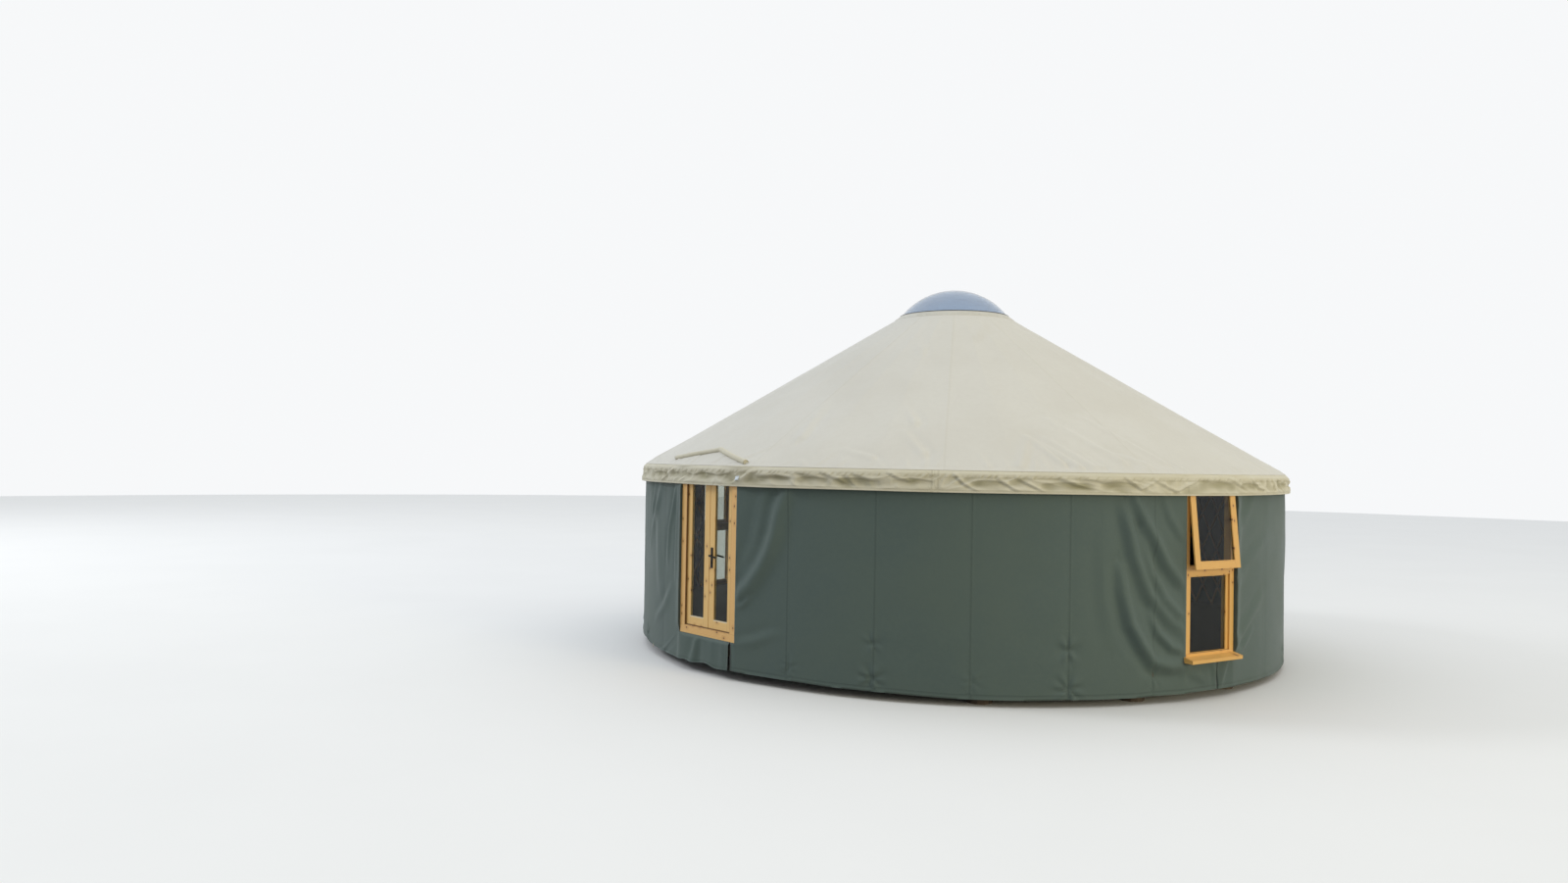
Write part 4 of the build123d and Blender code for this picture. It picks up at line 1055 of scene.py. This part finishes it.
# The turns and heights of a ridge's line, then its width and depth
VALANCE_RIDGES = [
    ([(-9.6, 2.485), (-11.8, 2.42), (-13.6, 2.35), (-15.4, 2.30)], 0.022, 0.012),
    ([(10.2, 2.475), (8.6, 2.42), (6.8, 2.36), (5.6, 2.31)], 0.024, 0.012),
    ([(10.6, 2.44), (13.5, 2.44), (17.0, 2.43)], 0.02, 0.008),
    ([(31.6, 2.50), (33.2, 2.44), (34.6, 2.41), (37.0, 2.46)], 0.02, 0.011),
    ([(40.7, 2.49), (41.9, 2.40), (44.2, 2.30)], 0.02, 0.012),
    ([(46.6, 2.45), (48.0, 2.38), (49.7, 2.30)], 0.022, 0.012),
    ([(49.1, 2.46), (51.2, 2.38), (53.4, 2.30)], 0.02, 0.012),
    ([(22.0, 2.48), (24.5, 2.42), (26.2, 2.33)], 0.025, 0.009),
    ([(27.0, 2.46), (29.4, 2.42), (31.0, 2.44)], 0.02, 0.008),
    ([(55.0, 2.47), (57.2, 2.40), (59.6, 2.36)], 0.022, 0.01),
    ([(58.6, 2.47), (61.0, 2.44), (63.6, 2.46)], 0.018, 0.01),
    ([(64.6, 2.48), (67.0, 2.36), (69.4, 2.45)], 0.02, 0.012),
    ([(69.4, 2.46), (72.9, 2.34), (76.8, 2.46)], 0.02, 0.01),
    ([(84.0, 2.49), (86.5, 2.42), (89.0, 2.36)], 0.02, 0.011),
    ([(90.5, 2.47), (92.5, 2.38), (94.0, 2.36), (95.5, 2.46)], 0.018, 0.011),
    ([(98.0, 2.48), (99.0, 2.36), (100.5, 2.46)], 0.016, 0.01),
]
# Scoops between the ridges: first and last turn, top and bottom, depth
SCOOPS = [
    (-19.4, -11.6, 2.448, 2.39, 0.015), (-11.0, -3.6, 2.45, 2.395, 0.014), (-3.6, 2.9, 2.45, 2.385, 0.016),
    (2.5, 7.2, 2.448, 2.385, 0.014), (10.6, 17.2, 2.44, 2.365, 0.014), (17.8, 23.0, 2.44, 2.365, 0.013),
    (23.5, 30.5, 2.435, 2.335, 0.012), (32.0, 38.0, 2.445, 2.38, 0.012), (42.5, 47.5, 2.44, 2.36, 0.010),
    (52.0, 60.0, 2.43, 2.335, 0.011), (60.5, 67.0, 2.445, 2.36, 0.011), (77.0, 86.0, 2.45, 2.36, 0.010),
    (86.5, 92.0, 2.45, 2.37, 0.010),
]
turn = 101.0
while turn < 337:
    wide = random.uniform(4.0, 8.5)
    top, bottom, depth = random.uniform(2.43, 2.45), random.uniform(2.34, 2.39), random.uniform(0.010, 0.015)
    SCOOPS.append((turn, turn + wide, top, bottom, depth))
    if random.random() < 0.75:
        lean = random.choice((-1, 1)) * random.uniform(2.0, 4.5)
        line = [(turn, 2.48), (turn + lean * 0.45, 2.4), (turn + lean, 2.31)]
        VALANCE_RIDGES.append((line, random.uniform(0.018, 0.026), random.uniform(0.008, 0.013)))
    turn += wide + random.uniform(0.2, 2.0)
# Short shells just above the rope: turn, lean, width, depth
SHELLS = []
turn = 0.0
while turn < 360:
    lean, width, depth = random.uniform(0.25, 0.8), random.uniform(0.010, 0.02), random.uniform(0.003, 0.009)
    SHELLS.append((turn, lean, width, depth))
    turn += random.uniform(0.55, 1.7)
LAPS = [37.52, 127.5, 217.5, 307.5]


def noise_at(turn, rate, up=0.0):
    return noise.noise(outwards(turn) * rate + Vector((0, 0, up)))


def valance_relief(turn, height):
    # How far the cloth stands off its profile, and how much painted shade it gets where it sinks
    beside = turn if turn < 335 else turn - 360
    relief = RELIEF_GAIN * sum(fold_height(beside, height, *one) for one in near(VALANCE_RIDGES, beside, 2.0))
    # Sharp small crumples, slanting one way and then the other
    slant = 38 * noise_at(turn, 5, 4.0)
    crumple = 1 - 3.2 * abs(noise_at(turn + slant * (2.45 - height), 24, height * 7))
    relief += 0.012 * crumple * smooth((2.47 - height) / 0.02)
    # Painted shade darkens the crumples where they sink, and none is painted where the cloth stands out
    painted_shade = (0.16 - 0.3 * crumple) * smooth((ROPE_FALL - height) / 0.012) - 20.0 * max(0.0, relief - 0.008)
    for first, last, top, bottom, depth in SCOOPS:
        across = (beside - first) / (last - first) * 2 - 1
        if abs(across) < 1:
            ragged = noise_at(turn, 26, height * 12)
            above = height - bottom
            brim = top - 0.028 * across * across + 0.012 * ragged
            share = (1 - abs(across) ** 5) * smooth((brim - height) / 0.025)
            relief -= RELIEF_GAIN * depth * share * smooth((above + 0.05 + 0.02 * ragged) / 0.07)
            # Painted shade in each scoop, strongest below its brim
            shade = (0.6 + 0.4 * ragged) * smooth((above + 0.055 + 0.03 * ragged) / 0.11)
            painted_shade = max(painted_shade, share * shade)
    for at, lean, width, depth in SHELLS:
        signed = arc(around(turn - at) + lean * (2.48 - height) / 0.04) / width
        if abs(signed) < 3:
            share = depth * math.exp(-((height - 2.468) / 0.026) ** 2)
            relief += share * (math.exp(-signed * signed) - 0.4)
            # Painted shade beside each shell
            shade = math.exp(-(signed - 1.4) ** 2 * 2) * smooth((2.492 - height) / 0.012)
            painted_shade = max(painted_shade, 55 * share * shade)
    return relief, min(0.85, max(0.0, painted_shade)) * smooth((height - HEM_FALL - 0.01) / 0.02)


def valance_place(turn, step):
    if step < 0:
        # The first rows lie on the roof cover, to which the valance is welded
        radius = LAP_ON_ROOF[-step - 1]
        place_at = roof_place(turn, radius)[0] + Vector((0, 0, 0.0018))
        return place_at, (arc(turn, radius), 2.53 + (4.5 - radius)), radius - 4.44
    radius, height = PROFILE[step]
    relief, painted_shade = valance_relief(turn, height)
    lap = nearest(*[arc(around(turn - at)) for at in LAPS])
    relief += 0.002 if 0 < lap < 0.085 else 0.0
    relief = max(DEEPEST, min(HIGHEST, relief + 0.005 * noise_at(turn, 8, height * 9)))
    relief *= smooth((height - HEM_FALL - 0.004) / 0.05) * smooth((2.5165 - height) / 0.02)
    # It never sinks as far as the frames behind it, whose corners stand out, nor to the open sashes
    limit = WALL + stand_out(turn, 2.43) + 0.008
    for middle in WINDOWS:
        if abs(turn - middle) < 5.2 and height < 2.43:
            face = SASH_FACE - SASH_LEAN * (height - SASH_LEVEL)
            limit = max(limit, face / math.cos(math.radians(turn - middle)))
    spare = radius + relief - limit
    radius += relief + (0.006 * math.exp(spare / 0.006 - 1) - spare if spare < 0.006 else 0.0)
    hang = 0.005 * noise_at(turn, 3, 8.0) * smooth((2.44 - height) / 0.15)
    seam = nearest(height - ROPE_FALL + 0.009, height - HEM_FALL - 0.022, lap - 0.008, lap - 0.077)
    return spot_on(radius, turn, height + hang), (arc(turn, radius), height), seam, painted_shade


valance_rows = [*reversed(range(len(PROFILE))), -1, -2, -3]
valance = add_object("valance_cloth", cloth_grid(
    spread_round(0.16 * coarse, 0.55 * coarse), valance_rows, valance_place, closed=True), valance_cloth)
thicken(valance, 0.003)
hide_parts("valance")
print("valance", len(valance.data.polygons), "scoops", len(SCOOPS), "ridges", len(VALANCE_RIDGES))

# %% [markdown]
# ## The rain deflector
# A roll of cloth is sewn over the doors like an upturned V, to lead rain to both sides. It is a soft tube:
# a circle is carried along its line on the roof, a little flat where it rests, and each end is tucked in.

# %% The rain deflector
# How far inside the eave, and at which turn, each corner lies
LEFT, APEX, RIGHT = (0.123, -13.4), (0.304, -2.15), (0.051, 7.8)
# Steps along an arm, the roll's radius, how high its middle lies and how far below that it is flat
ARM_STEPS, ROLL_RADIUS, ROLL_LIFT, ROLL_FLAT = 26, 0.0285, 0.026, 0.0225


def arm(start, end):
    for i in range(ARM_STEPS + 1):
        inside, turn = [a + (b - a) * i / ARM_STEPS for a, b in zip(start, end)]
        yield spot_on(EAVE[0] - inside, turn, on_slope(EAVE[0] - inside) + ROLL_LIFT)


route = [*arm(LEFT, APEX)][:-1] + [*arm(APEX, RIGHT)]
lengths = [0.0]
for a, b in zip(route, route[1:]):
    lengths.append(lengths[-1] + (b - a).length)


def deflector_place(degrees, i):
    ahead = (route[min(i + 1, len(route) - 1)] - route[max(i - 1, 0)]).normalized()
    place_at = route[i]
    lift = Vector((place_at.x, place_at.y, 0)).normalized() * math.sin(ROOF_ANGLE)
    lift.z = math.cos(ROOF_ANGLE)
    lift = (lift - ahead * lift.dot(ahead)).normalized()
    angle = math.radians(degrees)
    uneven = 0.0025 * noise.noise(place_at * 9 + lift * math.cos(angle)) + 0.0008 * math.sin(lengths[i] * 55)
    radius = (ROLL_RADIUS + uneven) * (1.0 + 0.12 * math.exp(-((i - ARM_STEPS) / 1.5) ** 2))
    height = max(math.cos(angle) * radius, -ROLL_FLAT)
    return (place_at + lift * height + ahead.cross(lift) * math.sin(angle) * radius * 1.1,
            (lengths[i], radius * angle), math.radians(degrees - 118) * radius)


roll = cloth_grid(spread(0.0, 360.0, 18.0), range(len(route)), deflector_place, closed=True)
rims = [edge for edge in roll.edges if edge.is_boundary]
for cap in bmesh.ops.holes_fill(roll, edges=rims, sides=0)["faces"]:
    bmesh.ops.recalc_face_normals(roll, faces=roll.faces[:])
    bmesh.ops.inset_region(roll, faces=[cap], thickness=0.003, use_even_offset=True)
    bmesh.ops.translate(roll, verts=cap.verts, vec=-cap.normal * 0.014)
    bmesh.ops.inset_region(roll, faces=[cap], thickness=0.0001)
deflector = add_object("rain_deflector_roll", roll, valance_cloth)
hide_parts("rain_deflector")
print("deflector", round(lengths[-1], 2), "m long")

# %% [markdown]
# ## Small shapes
# The rest are small hard pieces, many of them repeated. Each helper starts from a ready-made shape or an
# outline and places it with a matrix. Bars and beads get rounded edges, and copies are joined in one mesh.

# %% Small shape helpers
OUT, IN = [Matrix.Rotation(math.radians(angle), 4, "X") for angle in (90, -90)]


def facing(turn, across, outward, up):
    # A place in front of the wall: across to the right, outward from the axis, up from the ground
    return Matrix.Rotation(math.radians(turn), 4, "Z") @ Matrix.Translation((across, -outward, up))


def round_off(shape, edges, offset, segments):
    bmesh.ops.bevel(
        shape, geom=edges, offset=offset, segments=segments, profile=0.5, affect="EDGES", material=-1)


def add_bar(shape, place_at, size, rounding):
    made = bmesh.ops.create_cube(shape, size=1.0)["verts"]
    bmesh.ops.transform(shape, matrix=place_at @ Matrix.Diagonal((*size, 1.0)), verts=made)
    round_off(shape, list({edge for vert in made for edge in vert.link_edges}), rounding, 2)


def add_stud(shape, place_at, radius, height, crown, segments):
    # A low round head that points along the place's own Z
    bmesh.ops.create_cone(shape, cap_ends=True, segments=segments, radius1=radius, radius2=radius * crown,
                          depth=height, matrix=place_at @ Matrix.Translation((0, 0, height / 2)))


def frame_of_beads(place_at, half_x, half_y, width, depth):
    made = bmesh.new()
    bmesh.ops.create_grid(made, x_segments=1, y_segments=1, size=0.5)
    bmesh.ops.transform(made, verts=made.verts, matrix=Matrix.Diagonal((2 * half_x, 2 * half_y, 1, 1)))
    hole = made.faces[:][0]
    ring = bmesh.ops.inset_region(
        made, faces=[hole], thickness=width, use_boundary=True, use_even_offset=True)["faces"]
    bmesh.ops.delete(made, geom=[hole], context="FACES")
    bmesh.ops.solidify(made, geom=ring, thickness=-depth)
    inner = [edge for edge in made.edges if all(
        abs(vert.co.z) > depth / 2 and abs(vert.co.x) < half_x - width + 1e-5
        and abs(vert.co.y) < half_y - width + 1e-5 for vert in edge.verts)]
    round_off(made, inner, min(width, depth) * 0.7, 3)
    bmesh.ops.recalc_face_normals(made, faces=made.faces[:])
    bmesh.ops.transform(made, verts=made.verts, matrix=place_at @ OUT)
    return made


def add_turned(name, outline, finish, steps):
    # An outline of distances from the axis and heights, spun once round
    shape = bmesh.new()
    corners = [shape.verts.new((radius, 0, height)) for radius, height in outline]
    edges = [shape.edges.new((a, b)) for a, b in zip(corners, corners[1:] + corners[:1])]
    bmesh.ops.spin(shape, geom=corners + edges, axis=(0, 0, 1), cent=(0, 0, 0), angle=math.radians(360),
                   steps=steps, use_merge=True)
    bmesh.ops.remove_doubles(shape, verts=shape.verts[:], dist=1e-5)
    bmesh.ops.recalc_face_normals(shape, faces=shape.faces[:])
    return add_object(name, smoothed(shape), finish)


print("small shape helpers ready")

# %% [markdown]
# ## Glazing beads and door furniture
# A pane is held in its rebate by four mitred beads, rounded towards the glass, which a door leaf has on
# both faces and a window on one. The handle plates are screwed on at both ends and carry the lock's round
# barrel under the lever.

# %% Glazing beads
PANE_UP, PANE_HALF_UP, BEAD_WIDTH = 1.4785, 0.8185, 0.005
# The line that each top-hung sash turns about, and how many degrees it stands open
SASH_HINGE, SASH_OPENED = (4.501, 2.395), (6.0, 0.0)
for leaf, across in (("left_door", -PANE_X), ("right_door", PANE_X)):
    beads = [frame_of_beads(facing(0.0, across, outward, PANE_UP), PANE_HALF_X, PANE_HALF_UP,
                            BEAD_WIDTH, 0.0085) for outward in (4.465, 4.432)]
    add_object(leaf + "_beads", join_shapes(beads), leaf_pine, leaf)

beads = []
for turn, opened in zip(WINDOWS, SASH_OPENED):
    beads.append(frame_of_beads(facing(turn, 0.0, 4.467, 0.9565), 0.309, 0.4265, BEAD_WIDTH, 0.010))
    hang = facing(turn, 0.0, *SASH_HINGE)
    tilt = hang @ Matrix.Rotation(math.radians(-opened), 4, "X") @ hang.inverted()
    beads.append(frame_of_beads(tilt @ facing(turn, 0.0, 4.5075, 1.9315), 0.301, 0.3765, BEAD_WIDTH, 0.009))
add_object("window_beads", join_shapes(beads), window_pine)

# %% Door furniture
SPINDLE_X, SPINDLE_UP = 0.053, 1.437
furniture, roses = bmesh.new(), bmesh.new()
for plate, rose, key, away in ((4.483, 4.4836, 4.4865, OUT), (4.422, 4.4214, 4.4185, IN)):
    for up in (1.522, 1.298):
        add_stud(furniture, facing(0.0, SPINDLE_X, plate, up) @ away, 0.0042, 0.0016, 0.75, 14)
    add_stud(furniture, facing(0.0, SPINDLE_X, plate, 1.365) @ away, 0.0085, 0.0035, 0.92, 20)
    add_bar(furniture, facing(0.0, SPINDLE_X, key, 1.352), (0.006, 0.007, 0.018), 0.001)
    add_stud(roses, facing(0.0, SPINDLE_X, rose, SPINDLE_UP) @ away, 0.0135, 0.004, 0.85, 24)
add_object("plate_screws_and_lock", furniture, black_iron, "right_door")
add_object("lever_roses", roses, black_iron, "door_lever")
print("door furniture ready")

# %% [markdown]
# ## Window stays
# Each top-hung sash has a peg stay: a flat bar, hinged to the sash, that drops over a peg on the transom.
# At the front the bar holds the sash a hand open, at the back it lies along the sash.

# %% Window stays
stays = bmesh.new()
for turn, opened in zip(WINDOWS, SASH_OPENED):
    add_stud(stays, facing(turn, 0.0, 4.44, 1.506), 0.004, 0.022, 0.9, 12)
    add_bar(stays, facing(turn, 0.0, 4.44, 1.5065), (0.03, 0.05, 0.003), 0.001)
    if opened:
        add_bar(stays, facing(turn, 0.0, 4.478, 1.519), (0.014, 0.17, 0.003), 0.001)
    else:
        add_bar(stays, facing(turn, 0.085, 4.462, 1.519), (0.21, 0.014, 0.003), 0.001)
    add_bar(stays, facing(turn, 0.0, 4.562 if opened else 4.466, 1.523), (0.03, 0.012, 0.016), 0.002)
add_object("window_stays", stays, zinc_steel)
print("stays", len(WINDOWS))

# %% [markdown]
# ## Crown trim
# The dome sits on a dark gasket on its curb. A row of capped screws holds the curb to the crown ring
# through the roof cover.

# %% Crown trim
CURB_THICKNESS, SCREW_CIRCLE = 0.018, 0.868
curb_top = on_slope(0.7794) + CURB_THICKNESS
GASKET = [(0.7905, 0.0), (0.8015, 0.0), (0.8025, 0.006), (0.8, 0.0105), (0.7935, 0.012), (0.7905, 0.0095)]
gasket = add_turned("dome_gasket", [(radius, curb_top + up) for radius, up in GASKET], dark_rubber, 120)

screws = bmesh.new()
for turn in range(4, 364, 10):
    place_at = facing(turn, 0.0, SCREW_CIRCLE, on_slope(SCREW_CIRCLE) + CURB_THICKNESS)
    add_stud(screws, place_at @ Matrix.Rotation(ROOF_ANGLE, 4, "X"), 0.0085, 0.005, 0.7, 12)
add_object("curb_screws", screws, zinc_steel)
print("crown trim ready")

# %% [markdown]
# ## Lattice fittings
# The laths are bolted where they cross, so the wall can fold like a gate, and each bolt shows a round nut
# inside. A woven band runs round the top of the lattice and holds it against the push of the rafters.

# %% Lattice fittings
LATTICE_OUTER, LATH_FOOT, LATH_RISE, LATTICE_PITCH, ROWS = 4.446, 0.45, 2.0, 4.9, 7
# How many degrees from a section's edge its pins begin, and how far in from the laths' face the nuts sit
PINS_CLEAR, NUT_INSIDE = 0.3, 0.0125
# First and last turn of the lattice and of the band, and the sections of the lattice
RUNS = [(7.1, 75.0, 7.15, 74.9, 2), (86.0, 278.6, 86.1, 278.5, 5), (289.6, 352.9, 289.7, 352.85, 2)]


def section_pins(low, high):
    # Each lath leans over half the rows, so two of them cross where their feet are up to all the rows apart
    columns = round((high - low) / LATTICE_PITCH)
    pitch = (high - low) / columns
    lean = pitch * ROWS / 2
    for i in range(-3, columns + 1):
        for j in range(i, min(i + ROWS, columns + 3) + 1):
            crossing = low + pitch * (i + j) / 2
            offset = crossing - low - pitch * i - lean / 2
            share = 0.5 * (1 + math.tan(math.radians(offset)) / math.tan(math.radians(lean / 2)))
            if low + PINS_CLEAR < crossing < high - PINS_CLEAR and 0.03 < share < 0.97:
                waist = LATTICE_OUTER * math.cos(math.radians(lean / 2))
                radius = waist / math.cos(math.radians(offset)) - NUT_INSIDE
                yield facing(crossing, 0.0, radius, LATH_FOOT + LATH_RISE * share) @ IN


pins, bands = bmesh.new(), []
for first, last, band_first, band_last, count in RUNS:
    section_edges = [first + (last - first) * part / count for part in range(count + 1)]
    for low, high in zip(section_edges, section_edges[1:]):
        for place_at in section_pins(low, high):
            add_stud(pins, place_at, 0.007, 0.005, 0.65, 8)
    bands.append(cloth_grid(
        spread(band_first, band_last, 1.5), [2.375, 2.425],
        lambda turn, height: (spot_on(4.4635, turn, height), (arc(turn), height), height - 2.4)))
print("pin faces", len(pins.faces), "band runs", len(bands))
add_object("lattice_pins", pins, zinc_steel)
band = add_object("tension_band", join_shapes(bands), cord_cloth)
thicken(band, 0.002)

# %% [markdown]
# ## Tag and tie
# A small plain patch is sewn to the valance beside the doors. One white tie hangs out under the hem on the
# left, where the cover is laced to the floor.

# %% Tag and tie
TAG_TURN, TAG_UP = 7.3, 2.388


def tag_place(across, up):
    turn = TAG_TURN + math.degrees(across / WALL)
    height = TAG_UP + up * 0.98 + across * 0.12
    below = next(i for i, (_, level) in enumerate(PROFILE) if level < height and i > 6)
    (high_radius, high), (low_radius, low) = PROFILE[below - 1], PROFILE[below]
    base = low_radius + (high_radius - low_radius) * (height - low) / (high - low)
    behind = sum(valance_relief(TAG_TURN, TAG_UP + step)[0] for step in (-0.02, 0.0, 0.02)) / 3
    relief = max(behind, valance_relief(turn, height)[0]) + 0.009 + 0.004 * math.cos(across * 40)
    return spot_on(base + relief, turn, height), (across, up), 0.02


tag = add_object("valance_tag", cloth_grid(
    spread(-0.03, 0.03, 0.006), spread(-0.025, 0.025, 0.005), tag_place), tag_cloth)
thicken(tag, 0.0012)

tie = bmesh.new()
for across, up in ((0.0, 0.122), (0.012, 0.11)):
    slanted = facing(-19.5, across, 4.506, up) @ Matrix.Rotation(0.25 + across * 20, 4, "Y")
    add_bar(tie, slanted, (0.008, 0.005, 0.05), 0.002)
add_object("hem_tie", tie, cord_cloth)
print("tag and tie ready")
